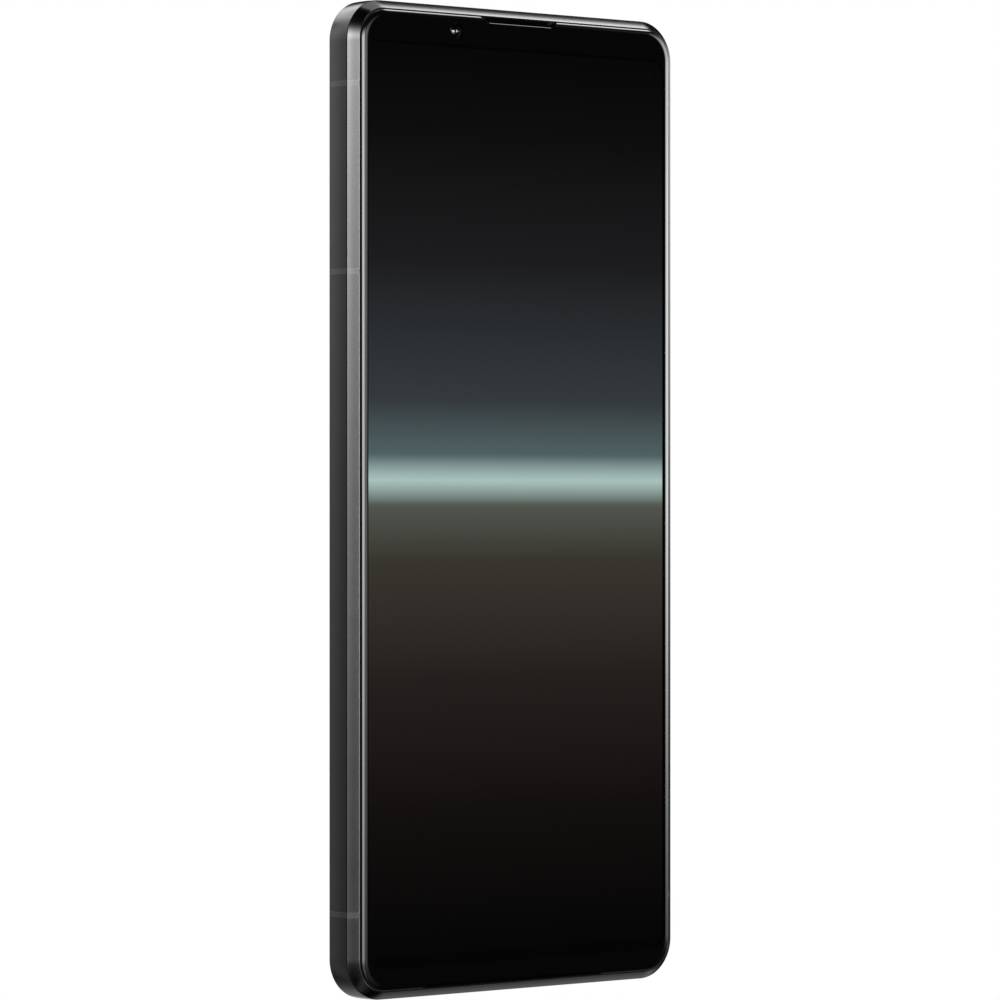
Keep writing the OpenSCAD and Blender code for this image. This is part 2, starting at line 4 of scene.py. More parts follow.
import bmesh
import bpy
import numpy as np
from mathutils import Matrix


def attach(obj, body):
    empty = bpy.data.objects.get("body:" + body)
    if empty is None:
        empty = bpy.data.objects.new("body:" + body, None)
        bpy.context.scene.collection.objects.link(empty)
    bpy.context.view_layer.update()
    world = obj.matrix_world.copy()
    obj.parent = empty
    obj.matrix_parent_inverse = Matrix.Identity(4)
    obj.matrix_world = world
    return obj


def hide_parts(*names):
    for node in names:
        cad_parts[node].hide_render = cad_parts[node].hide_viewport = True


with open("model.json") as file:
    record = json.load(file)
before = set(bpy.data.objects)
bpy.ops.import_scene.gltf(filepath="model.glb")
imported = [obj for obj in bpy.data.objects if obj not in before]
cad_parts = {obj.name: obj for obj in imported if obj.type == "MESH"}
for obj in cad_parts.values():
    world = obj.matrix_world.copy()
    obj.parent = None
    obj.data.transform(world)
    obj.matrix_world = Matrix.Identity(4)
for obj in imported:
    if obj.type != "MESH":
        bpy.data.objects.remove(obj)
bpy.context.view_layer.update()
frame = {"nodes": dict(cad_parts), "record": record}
nodes = frame["nodes"]
scene = bpy.context.scene
MM = 0.001
ROOT = "phone"

# ---------------------------------------------------------------- sizes, in mm, as in the CAD
HX, TOP, R = 33.5, 156.0, 6.5
W_SIDE, W_END = 1.62, 1.41  # width of the chamfers on the side walls and on the two ends
GAP = 0.2  # dark joint between frame and glass
YF, YB = -4.1, 4.1
MID = -0.07
CAM_X, CAM_Z = 21.6, (137.4, 125.4, 113.4)
ISL_Z = 127.5
SAG_FLAT, SAG_CH = 0.040, 0.022  # how far the flats and the chamfers bow outwards


# ================================================================ mesh tools
def new_object(name, verts, faces, slots=None):
    me = bpy.data.meshes.new(name)
    me.from_pydata([(v[0] * MM, v[1] * MM, v[2] * MM) for v in verts], [], faces)
    if slots is not None:
        for p, s in zip(me.polygons, slots):
            p.material_index = s
    ob = bpy.data.objects.new(name, me)
    scene.collection.objects.link(ob)
    clean(ob)
    return ob


def clean(ob, merge=1e-7):
    bm = bmesh.new()
    bm.from_mesh(ob.data)
    bmesh.ops.remove_doubles(bm, verts=bm.verts, dist=merge)
    bmesh.ops.recalc_face_normals(bm, faces=bm.faces)
    bm.to_mesh(ob.data)
    bm.free()
    ob.data.update()


def settle(ob):
    """Applies the modifiers of ob to its mesh."""
    bpy.context.view_layer.update()
    dg = bpy.context.evaluated_depsgraph_get()
    me = bpy.data.meshes.new_from_object(ob.evaluated_get(dg), preserve_all_data_layers=True, depsgraph=dg)
    ob.modifiers.clear()
    old = ob.data
    ob.data = me
    me.name = ob.name
    bpy.data.meshes.remove(old)


def smooth(ob, angle=36, weighted=True):
    me = ob.data
    me.shade_smooth()
    me.set_sharp_from_angle(angle=math.radians(angle))
    if weighted:
        m = ob.modifiers.new("normals", "WEIGHTED_NORMAL")
        m.keep_sharp = True
        m.weight = 60
        m.mode = "FACE_AREA_WITH_ANGLE"
    return ob


def join(objs, name):
    """One object from several, by their mesh data."""
    bm = bmesh.new()
    for o in objs:
        bm.from_mesh(o.data)
    me = bpy.data.meshes.new(name)
    bm.to_mesh(me)
    bm.free()
    for o in objs:
        bpy.data.objects.remove(o, do_unlink=True)
    ob = bpy.data.objects.new(name, me)
    scene.collection.objects.link(ob)
    return ob


def boolean(ob, cutters, how="DIFFERENCE"):
    """Cuts, joins or keeps by closed cutters that don't touch each other."""
    tool = join(cutters, "cutter") if len(cutters) > 1 else cutters[0]
    m = ob.modifiers.new("b", "BOOLEAN")
    m.operation, m.solver, m.object = how, "EXACT", tool
    settle(ob)
    bpy.data.objects.remove(tool, do_unlink=True)
    return ob


# the outline of the body, as arc centres, directions and how much each point belongs to a side wall
def body_outline(n=28, extra=0.35):
    out = []
    corners = ((1, -1, -90), (1, 1, 0), (-1, 1, 90), (-1, -1, 180))
    for sx, sz, a0 in corners:
        cx = sx * (HX - R)
        cz = TOP - R if sz > 0 else R
        for i in range(-1, n + 2):
            t = min(max(i, 0), n)
            a = math.radians(a0 + 90 * t / n)
            d = (math.cos(a), math.sin(a))
            ox = oz = 0.0
            if i < 0:  # a support point on the straight before the arc
                ox, oz = d[1] * extra, -d[0] * extra
            if i > n:
                ox, oz = -d[1] * extra, d[0] * extra
            out.append((cx + ox, cz + oz, d, abs(d[0]) ** 2))
    return out


BODY = body_outline()


def rounded(poly, rads, segs, e=0.03, closed=True):
    """The points of a polygon with its corners rounded, and a support point on each side of every arc."""
    out, n = [], len(poly)
    for i, p in enumerate(poly):
        if rads[i] <= 0 or (not closed and i in (0, n - 1)):
            out.append(tuple(p))
            continue
        p = np.array(p, float)
        u = np.array(poly[i - 1], float) - p
        v = np.array(poly[(i + 1) % n], float) - p
        u /= np.linalg.norm(u)
        v /= np.linalg.norm(v)
        half = math.acos(max(-1, min(1, float(u @ v)))) / 2
        t = rads[i] / math.tan(half)
        b = (u + v) / np.linalg.norm(u + v)
        c = p + b * rads[i] / math.sin(half)
        s, q = p + u * t - c, p + v * t - c
        full = math.acos(max(-1, min(1, float(s @ q) / rads[i] ** 2)))
        out.append(tuple(p + u * (t + e)))
        for k in range(segs[i] + 1):
            f = k / segs[i]
            w = (math.sin((1 - f) * full) * s + math.sin(f * full) * q) / math.sin(full)
            out.append(tuple(c + w))
        out.append(tuple(p + v * (t + e)))
    return out


def sweep(name, profile, closed=True, cap=None):
    """profile(W) gives the (inset, y) points for a chamfer width; they are carried round the body. cap closes an open profile's ends with flat faces."""
    rows = []
    for cx, cz, d, side in BODY:
        w = W_END + (W_SIDE - W_END) * side
        rows.append([(cx + d[0] * (R - a), y, cz + d[1] * (R - a)) for a, y in profile(w)])
    n, m = len(rows), len(rows[0])
    verts = [v for r in rows for v in r]
    faces = []
    for i in range(n):
        k = (i + 1) % n
        for j in range(m if closed else m - 1):
            q = (j + 1) % m
            faces.append((i * m + j, i * m + q, k * m + q, k * m + j))
    if cap:
        faces.append(tuple(i * m for i in range(n)))
        faces.append(tuple(i * m + m - 1 for i in range(n))[::-1])
    return new_object(name, verts, faces)


def rr_loop(w, h, r, inset, n):
    a, b = w / 2 - inset, h / 2 - inset
    r = max(min(r - inset, a - 1e-4, b - 1e-4), 0.004)
    pts = []
    for cx, cz, a0 in ((a - r, -b + r, -90), (a - r, b - r, 0), (-a + r, b - r, 90), (-a + r, -b + r, 180)):
        for i in range(n + 1):
            t = math.radians(a0 + 90 * i / n)
            pts.append((cx + r * math.cos(t), cz + r * math.sin(t)))
    return pts


PLACE = {
    "x": lambda u, v, d, c: (d, c[0] + u, c[1] + v),  # u along Y, v along Z
    "y": lambda u, v, d, c: (c[0] + u, d, c[1] + v),  # u along X, v along Z
    "z": lambda u, v, d, c: (c[0] + u, c[1] + v, d),  # u along X, v along Y
}


def loft(name, axis, w, h, r, centre, levels, n=14, ring=False):
    """A rounded rectangle drawn through levels of (inset, depth). With ring, the levels close on themselves and there are no end faces."""
    put = PLACE[axis]
    verts, faces = [], []
    for inset, d in levels:
        verts += [put(u, v, d, centre) for u, v in rr_loop(w, h, r, inset, n)]
    k, m = 4 * (n + 1), len(levels)
    for j in range(m if ring else m - 1):
        q = (j + 1) % m
        for i in range(k):
            s = (i + 1) % k
            faces.append((j * k + i, j * k + s, q * k + s, q * k + i))
    if not ring:
        faces.append(tuple(range(k))[::-1])
        faces.append(tuple((m - 1) * k + i for i in range(k)))
    return new_object(name, verts, faces)


def round_over(face, r, toward, n=6):
    """Levels from a side wall over a rounded edge to the flat at depth face. toward is +1 where the flat faces up the axis."""
    out = [(0.0, face - toward * (r + 0.03))]
    for k in range(n + 1):
        t = math.radians(90 * k / n)
        out.append((r * (1 - math.cos(t)), face - toward * r * (1 - math.sin(t))))
    out.append((r + 0.03, face))
    return out


def mouth(inner, face, r, toward, beyond=1.0, n=5):
    """Levels of a cutter whose mouth opens with a rounded edge of radius r at depth face."""
    out = [(0.0, inner), (0.0, face - toward * (r + 0.03))]
    for k in range(n + 1):
        t = math.radians(90 * k / n)
        out.append((-r * (1 - math.cos(t)), face - toward * r * (1 - math.sin(t))))
    out.append((-r, face + toward * beyond))
    return out


def lathe(name, profile, cx, cz, n=72, axis="y", cy=0.0):
    """A closed solid turned about an axis through (cx, cz). profile is (radius, depth), from the axis and back to it."""
    put = PLACE[axis]
    verts, faces, rows = [], [], []
    for r, d in profile:
        if r <= 1e-6:
            rows.append([len(verts)])
            verts.append(put(0, 0, d, (cx, cz)))
        else:
            rows.append(list(range(len(verts), len(verts) + n)))
            verts += [put(r * math.cos(2 * math.pi * i / n), r * math.sin(2 * math.pi * i / n), d, (cx, cz)) for i in range(n)]
    for a, b in zip(rows, rows[1:]):
        for i in range(n):
            k = (i + 1) % n
            if len(a) == 1 and len(b) == 1:
                break
            if len(a) == 1:
                faces.append((a[0], b[i], b[k]))
            elif len(b) == 1:
                faces.append((a[i], a[k], b[0]))
            else:
                faces.append((a[i], a[k], b[k], b[i]))
    return new_object(name, verts, faces)


def block(name, a, b):
    x0, y0, z0 = a
    x1, y1, z1 = b
    v = [(x, y, z) for x in (x0, x1) for y in (y0, y1) for z in (z0, z1)]
    f = [(0, 1, 3, 2), (4, 6, 7, 5), (0, 4, 5, 1), (2, 3, 7, 6), (0, 2, 6, 4), (1, 5, 7, 3)]
    return new_object(name, v, f)


def from_cad(name, node, width=0.0, segs=3, angle=38):
    """A new piece with a CAD node's shape and its edges rounded off."""
    me = nodes[node].data.copy()
    me.name = name
    ob = bpy.data.objects.new(name, me)
    scene.collection.objects.link(ob)
    bm = bmesh.new()
    bm.from_mesh(me)
    bmesh.ops.remove_doubles(bm, verts=bm.verts, dist=2e-7)
    bmesh.ops.recalc_face_normals(bm, faces=bm.faces)
    bmesh.ops.dissolve_limit(bm, angle_limit=math.radians(0.6), verts=bm.verts, edges=bm.edges)
    bm.to_mesh(me)
    bm.free()
    for at in [a for a in me.attributes if a.name == "custom_normal" or a.name == "sharp_edge" or a.name == "sharp_face"]:
        me.attributes.remove(at)
    if width:
        m = ob.modifiers.new("edge", "BEVEL")
        m.width, m.segments, m.limit_method, m.angle_limit = width * MM, segs, "ANGLE", math.radians(angle)
        m.use_clamp_overlap, m.miter_outer = True, "MITER_ARC"
        settle(ob)
    return ob


# ================================================================ materials
def lin(h):
    """sRGB hex to linear."""
    c = [int(h[i : i + 2], 16) / 255 for i in (0, 2, 4)]
    return [x / 12.92 if x <= 0.04045 else ((x + 0.055) / 1.055) ** 2.4 for x in c]


class Mat:
    """A material with its node tree, and short ways to add nodes."""

    def __init__(self, name):
        self.m = bpy.data.materials.new(name)
        self.m.use_nodes = True
        self.t = self.m.node_tree
        self.t.nodes.clear()
        self.out = self.add("ShaderNodeOutputMaterial")
        self.coord = None

    def add(self, kind, **values):
        n = self.t.nodes.new(kind)
        for k, v in values.items():
            setattr(n, k, v)
        return n

    def link(self, a, b):
        self.t.links.new(a, b)

    def where(self):
        if not self.coord:
            self.coord = self.add("ShaderNodeTexCoord").outputs["Object"]
        return self.coord

    def noise(self, per_mm, detail=3.0, rough=0.5, stretch=(1, 1, 1)):
        mp = self.add("ShaderNodeMapping")
        mp.inputs["Scale"].default_value = [1000 * per_mm * s for s in stretch]
        self.link(self.where(), mp.inputs["Vector"])
        n = self.add("ShaderNodeTexNoise")
        n.inputs["Scale"].default_value = 1.0
        n.inputs["Detail"].default_value = detail
        n.inputs["Roughness"].default_value = rough
        self.link(mp.outputs["Vector"], n.inputs["Vector"])
        return n.outputs["Fac"]

    def rng(self, sock, a, b, lo, hi):
        n = self.add("ShaderNodeMapRange")
        n.inputs["From Min"].default_value, n.inputs["From Max"].default_value = a, b
        n.inputs["To Min"].default_value, n.inputs["To Max"].default_value = lo, hi
        self.link(sock, n.inputs["Value"])
        return n.outputs["Result"]

    def mix(self, fac, a, b):
        n = self.add("ShaderNodeMix", data_type="RGBA")
        for s, v in ((n.inputs["Factor"], fac), (n.inputs["A"], a), (n.inputs["B"], b)):
            if isinstance(v, bpy.types.NodeSocket):
                self.link(v, s)
            elif isinstance(v, (int, float)):
                s.default_value = v
            else:
                s.default_value = (*v, 1)
        # the colour sockets carry the same names as the float ones
        return n.outputs["Result"]

    def math(self, op, a, b=0.0, c=None, clamp=False):
        n = self.add("ShaderNodeMath", operation=op, use_clamp=clamp)
        for s, v in zip(n.inputs, (a, b, c)):
            if v is None:
                continue
            if isinstance(v, bpy.types.NodeSocket):
                self.link(v, s)
            else:
                s.default_value = v
        return n.outputs[0]

    def ramp(self, fac, stops, mode="LINEAR"):
        n = self.add("ShaderNodeValToRGB")
        n.color_ramp.interpolation = mode
        el = n.color_ramp.elements
        while len(el) > 1:
            el.remove(el[-1])
        el[0].position = stops[0][0]
        el[0].color = (*stops[0][1], 1)
        for p, c in stops[1:]:
            e = el.new(p)
            e.color = (*c, 1)
        self.link(fac, n.inputs["Fac"])
        return n.outputs["Color"]

    def bump(self, height, dist_mm, strength=1.0):
        n = self.add("ShaderNodeBump")
        n.inputs["Distance"].default_value = dist_mm * MM
        n.inputs["Strength"].default_value = strength
        self.link(height, n.inputs["Height"])
        return n.outputs["Normal"]


def mix_rgba(mat, fac, a, b):
    """Colour mix, with the sockets picked by type."""
    n = mat.add("ShaderNodeMix", data_type="RGBA")
    ins = [s for s in n.inputs if s.enabled]
    for s, v in zip(ins, (fac, a, b)):
        if isinstance(v, bpy.types.NodeSocket):
            mat.link(v, s)
        elif isinstance(v, (int, float)):
            s.default_value = v
        else:
            s.default_value = (*v, 1)
    return [s for s in n.outputs if s.enabled][0]


def surface(name, col, col2=None, metal=0.0, rough=(0.3, 0.4), per_mm=6.0, stretch=(1, 1, 1), blotch=0.25,
            bump_mm=0.0, spec=0.5, ior=1.5, coat=0.0, coat_rough=0.05, detail=4.0, film=0.0):
    """The usual finish: two colours and a roughness that vary with a slow noise, and a fine grain in the bump."""
    k = Mat(name)
    p = k.add("ShaderNodeBsdfPrincipled")
    k.link(p.outputs[0], k.out.inputs["Surface"])
    slow = k.noise(blotch, 2.0, 0.5)
    fine = k.noise(per_mm, detail, 0.6, stretch)
    both = k.math("ADD", k.math("MULTIPLY", slow, 0.5), k.math("MULTIPLY", fine, 0.5))
    k.link(mix_rgba(k, k.rng(both, 0.35, 0.65, 0, 1), col, col2 or [c * 0.86 for c in col]), p.inputs["Base Color"])
    k.link(k.rng(both, 0.3, 0.7, rough[0], rough[1]), p.inputs["Roughness"])
    p.inputs["Metallic"].default_value = metal
    p.inputs["Specular IOR Level"].default_value = spec
    p.inputs["IOR"].default_value = ior
    p.inputs["Coat Weight"].default_value = coat
    p.inputs["Coat Roughness"].default_value = coat_rough
    if film:
        p.inputs["Thin Film Thickness"].default_value = film
        p.inputs["Thin Film IOR"].default_value = 1.38
    if bump_mm:
        k.link(k.bump(fine, bump_mm), p.inputs["Normal"])
    return k.m


M = {}
M["frame_metal"] = surface("frame_metal", [0.080, 0.080, 0.081], [0.074, 0.074, 0.075], 1.0, (0.13, 0.17), 14, bump_mm=0.0012)
M["key_metal"] = surface("key_metal", [0.078, 0.078, 0.079], [0.070, 0.070, 0.071], 1.0, (0.14, 0.19), 14, bump_mm=0.0012)
M["break_plastic"] = surface("break_plastic", [0.008, 0.008, 0.0085], [0.0065, 0.0065, 0.007], 0.0, (0.15, 0.20), 9, bump_mm=0.0015, ior=1.80)
# painted highlight: a lighter, shinier copy of the break plastic, for the line of light along each edge of the antenna
# breaks
M["break_edge_painted_highlight"] = surface("break_edge_painted_highlight", [0.014, 0.014, 0.0145], [0.011, 0.011, 0.0115], 0.0, (0.16, 0.22), 9, bump_mm=0.0015, ior=1.88)
M["rear_glass"] = surface("rear_glass", [0.0080, 0.0080, 0.0088], [0.0062, 0.0062, 0.0070], 0.0, (0.20, 0.26), 0.8, coat=0.0)
M["screen_glass"] = surface("screen_glass", [0.0013, 0.0013, 0.0013], [0.0011, 0.0011, 0.0011], 0.0, (0.012, 0.02), 0.5)
M["gasket_rubber"] = surface("gasket_rubber", [0.0022, 0.0022, 0.0022], None, 0.0, (0.6, 0.75), 8, bump_mm=0.004, spec=0.2)
M["copper"] = surface("copper", [0.72, 0.36, 0.20], [0.60, 0.28, 0.15], 1.0, (0.28, 0.45), 5, (1, 1, 0.15), bump_mm=0.002)
M["flex_film"] = surface("flex_film", [0.42, 0.20, 0.045], [0.34, 0.15, 0.03], 0.0, (0.28, 0.4), 2.0, (1, 1, 0.08), coat=0.4, bump_mm=0.006)
M["black_plastic"] = surface("black_plastic", [0.018, 0.018, 0.020], [0.013, 0.013, 0.015], 0.0, (0.42, 0.58), 9, bump_mm=0.006)
M["board"] = surface("board", [0.010, 0.085, 0.040], [0.008, 0.060, 0.028], 0.0, (0.3, 0.45), 4, coat=0.3, bump_mm=0.004)
M["stamped_steel"] = surface("stamped_steel", [0.62, 0.63, 0.65], [0.52, 0.53, 0.55], 1.0, (0.24, 0.38), 5, (1, 1, 0.2), bump_mm=0.002)
M["chip_epoxy"] = surface("chip_epoxy", [0.016, 0.016, 0.018], None, 0.0, (0.5, 0.62), 12, bump_mm=0.004)
M["contact_gold"] = surface("contact_gold", [0.83, 0.58, 0.20], [0.74, 0.50, 0.16], 1.0, (0.2, 0.32), 6, bump_mm=0.001)
M["switch_dome"] = surface("switch_dome", [0.66, 0.62, 0.50], None, 1.0, (0.22, 0.3), 6, bump_mm=0.001)
M["mesh_black"] = surface("mesh_black", [0.0006, 0.0006, 0.0006], [0.0003, 0.0003, 0.0003], 0.0, (0.85, 0.95), 12, bump_mm=0.004, spec=0.01)
M["cone_film"] = surface("cone_film", [0.55, 0.52, 0.44], [0.46, 0.43, 0.36], 0.0, (0.35, 0.5), 3, bump_mm=0.006)
M["heavy_metal"] = surface("heavy_metal", [0.25, 0.26, 0.28], [0.2, 0.2, 0.22], 1.0, (0.35, 0.5), 6, (0.2, 1, 1), bump_mm=0.003)
M["battery_foil"] = surface("battery_foil", [0.66, 0.67, 0.69], [0.55, 0.56, 0.58], 0.9, (0.3, 0.5), 1.2, bump_mm=0.02)
M["adhesive"] = surface("adhesive", [0.008, 0.008, 0.008], None, 0.0, (0.5, 0.7), 5, bump_mm=0.008)
M["seal_rubber"] = surface("seal_rubber", [0.15, 0.008, 0.006], None, 0.0, (0.45, 0.6), 5, bump_mm=0.005)
M["cable_jacket"] = surface("cable_jacket", [0.012, 0.012, 0.014], None, 0.0, (0.35, 0.5), 5, bump_mm=0.004)
M["ferrite"] = surface("ferrite", [0.035, 0.035, 0.04], [0.025, 0.025, 0.03], 0.0, (0.5, 0.7), 4, bump_mm=0.008)
M["sensor_glass"] = surface("sensor_glass", [0.012, 0.012, 0.014], None, 0.0, (0.08, 0.12), 3, coat=0.6)
M["lens_black"] = surface("lens_black", [0.005, 0.005, 0.006], [0.003, 0.003, 0.004], 0.0, (0.25, 0.4), 10, bump_mm=0.002)
M["lens_glass"] = surface("lens_glass", [0.0025, 0.003, 0.006], [0.002, 0.003, 0.004], 0.0, (0.01, 0.02), 1.0, ior=1.7, film=420)
M["front_lens"] = surface("front_lens", [0.0010, 0.0016, 0.0034], [0.0008, 0.0014, 0.0020], 0.0, (0.012, 0.02), 1.0, ior=2.3)
M["module_metal"] = surface("module_metal", [0.36, 0.37, 0.39], [0.30, 0.31, 0.33], 1.0, (0.3, 0.45), 6, bump_mm=0.002)
M["flash_lens"] = surface("flash_lens", [0.75, 0.62, 0.16], [0.66, 0.50, 0.10], 0.0, (0.2, 0.3), 4, coat=0.5, bump_mm=0.01)
M["trim_ring"] = surface("trim_ring", [0.20, 0.20, 0.21], [0.17, 0.17, 0.18], 1.0, (0.22, 0.3), 10, bump_mm=0.001)


def clear_glass(name):
    """Clear cover glass: it bends and mirrors light, with a faint slow noise in its tint."""
    k = Mat(name)
    p = k.add("ShaderNodeBsdfPrincipled")
    k.link(p.outputs[0], k.out.inputs["Surface"])
    tint = k.noise(0.05, 2.0, 0.5)
    k.link(mix_rgba(k, tint, [0.985, 0.99, 0.995], [0.995, 1.0, 1.0]), p.inputs["Base Color"])
    p.inputs["Roughness"].default_value = 0.0
    p.inputs["IOR"].default_value = 1.5
    p.inputs["Transmission Weight"].default_value = 1.0
    return k.m


M["clear_glass"] = clear_glass("clear_glass")


def display_material():
    """A plain lit screen: a vertical gradient with one soft light band. Heights are in mm of the row frame."""
    k = Mat("display_picture")
    p = k.add("ShaderNodeEmission")
    k.link(p.outputs[0], k.out.inputs["Surface"])
    sep = k.add("ShaderNodeSeparateXYZ")
    k.link(k.where(), sep.inputs[0])
    x = k.math("MULTIPLY", sep.outputs["X"], 1000.0)
    z = k.math("MULTIPLY", sep.outputs["Z"], 1000.0)
    # a plain vertical gradient: dark at both ends, with one soft light band across the middle
    col = k.ramp(k.math("DIVIDE", z, 156.0, clamp=True), [
        (0.05, lin("050505")), (0.19, lin("120f0e")), (0.32, lin("241f1d")), (0.44, lin("38352f")), (0.495, lin("50544c")),
        (0.52, lin("a8c0bc")), (0.545, lin("506062")), (0.60, lin("34393c")), (0.74, lin("1c1c1e")), (0.87, lin("0d0d0d")), (0.95, lin("070707"))])
    # the lit area
    inx = k.rng(k.math("ABSOLUTE", x), 30.36, 30.44, 1.0, 0.0)
    inz = k.rng(k.math("ABSOLUTE", k.math("SUBTRACT", z, 78.0)), 71.16, 71.24, 1.0, 0.0)
    lit = k.math("MULTIPLY", inx, inz)
    grain = k.rng(k.noise(3.0, 2.0, 0.5), 0.3, 0.7, 0.985, 1.015)
    lit = k.math("MULTIPLY", lit, grain)
    glow = mix_rgba(k, lit, [0.0011, 0.0011, 0.0011], col)
    k.link(glow, p.inputs["Color"])
    p.inputs["Strength"].default_value = 1.13
    return k.m


M["display"] = display_material()


def paint(ob, *mats):
    me = ob.data
    index = [p.material_index for p in me.polygons]
    me.materials.clear()
    for m in mats:
        me.materials.append(M[m])
    for p, i in zip(me.polygons, index):
        p.material_index = min(i, len(mats) - 1)
    return ob


def piece(ob, mats, stands_for=(), body=ROOT, angle=36, weighted=True):
    paint(ob, *([mats] if isinstance(mats, str) else mats))
    smooth(ob, angle, weighted)
    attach(ob, body)
    if stands_for:
        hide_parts(*stands_for)
    return ob


# ================================================================ the frame
def bowed(a, b, sag, n):
    """Points from a to b on a shallow outward arc. Outward is to the left of a to b."""
    a, b = np.array(a, float), np.array(b, float)
    d = b - a
    out = np.array([-d[1], d[0]]) / np.linalg.norm(d)
    t = np.linspace(0, 1, n)
    return [tuple(a + d * f + out * sag * 4 * f * (1 - f)) for f in t]


def frame_profile(w, under=0.0):
    """The wall's profile: a slightly bowed flat between two slightly bowed chamfers, with soft edges. under sets it below flush."""
    u = under
    e = 0.04 + u + 0.06 * (W_SIDE - w) / (W_SIDE - W_END)  # the ends' front edge lies a little lower
    yc = -2.34  # where the front chamfer meets the flat
    edge = rounded([(w, -3.59 + u), (e, yc), (0.04 + u, 2.14), (w, 3.45 - u)], [0, 0.36, 0.22, 0], [0, 10, 10, 0], closed=False)
    lip_f = rounded([(w, -3.25), (w, -3.59 + u), (e, yc)], [0, 0.05, 0], [0, 4, 0], closed=False)
    lip_b = rounded([(0.04 + u, 2.14), (w, 3.45 - u), (w, 3.25)], [0, 0.05, 0], [0, 4, 0], closed=False)
    m = len(edge) // 2
    f_arc, b_arc = edge[1 : m], edge[m : -1]
    pts = [(2.215, -3.25)] + lip_f[:-1]
    pts += bowed(lip_f[-2], f_arc[0], SAG_CH, 9)[1:-1]
    pts += f_arc
    pts += bowed(f_arc[-1], b_arc[0], SAG_FLAT, 11)[1:-1]
    pts += b_arc
    pts += bowed(b_arc[-1], lip_b[1], SAG_CH, 9)[1:-1]
    pts += lip_b[1:] + [(2.215, 3.25)]
    return pts


def make_frame():
    ob = sweep("frame_ring", frame_profile)
    c1 = [
        loft("c", "x", 2.3, 24.2, 1.1, (MID, 125.0), mouth(30.5, HX, 0.10, 1)),
        loft("c", "x", 3.0, 13.2, 1.4, (MID, 90.5), mouth(30.5, HX, 0.12, 1)),
        loft("c", "x", 2.3, 8.2, 1.1, (MID, 31.0), mouth(30.5, HX, 0.10, 1)),
        loft("c", "z", 3.6, 3.6, 1.8, (-22.0, MID), mouth(152.5, TOP, 0.16, 1), n=16),
        loft("c", "z", 0.9, 0.9, 0.45, (-9.2, MID), mouth(153.0, TOP, 0.06, 1), n=8),
        loft("c", "z", 11.7, 2.3, 1.1, (10.6, MID), mouth(TOP - 0.85, TOP, 0.07, 1)),
        loft("c", "z", 0.9, 0.9, 0.45, (12.0, MID), mouth(3.0, 0, 0.06, -1), n=8),
        loft("c", "z", 9.06, 3.28, 1.6, (0, MID), mouth(3.5, 0, 0.22, -1), n=16),
    ]
    for z in (142.7, 113.5, 13.6):
        c1.append(block("c", (-HX - 1, -6, z - 0.45), (-HX + 2.4, 6, z + 0.45)))
    for z in (142.7, 13.6):
        c1.append(block("c", (HX - 2.4, -6, z - 0.45), (HX + 1, 6, z + 0.45)))
    boolean(ob, c1)
    boolean(ob, [loft("c", "z", 10.8, 1.5, 0.3, (10.6, MID), [(0, 152.5), (0, 155.6)], n=4)])
    # the inner plate and its bosses keep the CAD's shape
    inner = from_cad("inner", "side_frame")
    keep = []
    for cx, cz, d, side in BODY:
        keep.append((cx + d[0] * (R - 2.2), cz + d[1] * (R - 2.2)))
    n = len(keep)
    verts = [(x, -3.0, z) for x, z in keep] + [(x, 3.0, z) for x, z in keep]
    faces = [(i, (i + 1) % n, n + (i + 1) % n, n + i) for i in range(n)] + [tuple(range(n))[::-1], tuple(range(n, 2 * n))]
    boolean(inner, [new_object("c", verts, faces)], "INTERSECT")
    clean(inner)
    ob = join([ob, inner], "frame_shell")
    return ob


ring = piece(make_frame(), "frame_metal", ["side_frame"], angle=32)


def break_piece(i, side, z0):
    """A plastic antenna break: the wall's own profile, a hair under flush, with a painted highlight along each edge, a
    lighter and shinier material on the edge strips.
    """
    prof = frame_profile(W_SIDE, 0.002)
    ca, cy = 2.0, -0.07
    rows = []
    for dz, k in ((-0.449, 0.02), (-0.435, 0.0), (-0.32, 0.0), (0.32, 0.0), (0.435, 0.0), (0.449, 0.02)):
        row = []
        for a, y in prof:
            va, vy = ca - a, cy - y
            l = math.hypot(va, vy) or 1
            row.append((side * (HX - (a + va / l * k)), y + vy / l * k, z0 + dz))
        rows.append(row)
    n, m = len(rows), len(rows[0])
    verts = [v for r in rows for v in r]
    faces = [(i * m + j, i * m + (j + 1) % m, (i + 1) * m + (j + 1) % m, (i + 1) * m + j) for i in range(n - 1) for j in range(m)]
    faces += [tuple(range(m)), tuple((n - 1) * m + j for j in range(m))[::-1]]
    # slot 1, the painted edge highlight, goes on the strips along both edges and on the end faces; slot 0 on the middle
    # band
    edge = [0 if i == 2 else 1 for i in range(n - 1) for j in range(m)] + [1, 1]
    return new_object("antenna_break_%d" % i, verts, faces, edge)


for i, (s, z) in enumerate(((-1, 142.7), (-1, 113.5), (-1, 13.6), (1, 142.7), (1, 13.6))):
    # the second material is the painted highlight along the edges
    piece(break_piece(i + 1, s, z), ["break_plastic", "break_edge_painted_highlight"], ["antenna_breaks"])


# ================================================================ the glass
def glass_profile(face, back, bevel=0.95, turn=34.3):
    """An even arc from the softened rim to the flat face, as (inset, y) pairs."""
    s = 1 if face > 0 else -1
    r = bevel / math.sin(math.radians(turn))
    drop = r * (1 - math.cos(math.radians(turn)))

    def profile(w):
        g = w + GAP
        out = [(g + 0.07, back), (g + 0.02, back + s * 0.02), (g, back + s * 0.07), (g, face - s * (drop + 0.11))]
        out += [(g + 0.008, face - s * (drop + 0.06)), (g + 0.026, face - s * (drop + 0.022))]
        for t in np.linspace(turn, 0, 15):
            t = math.radians(t)
            out.append((g + 0.05 + bevel - r * math.sin(t), face - s * r * (1 - math.cos(t))))
        out.append((g + bevel + 0.12, face))
        return out

    return profile


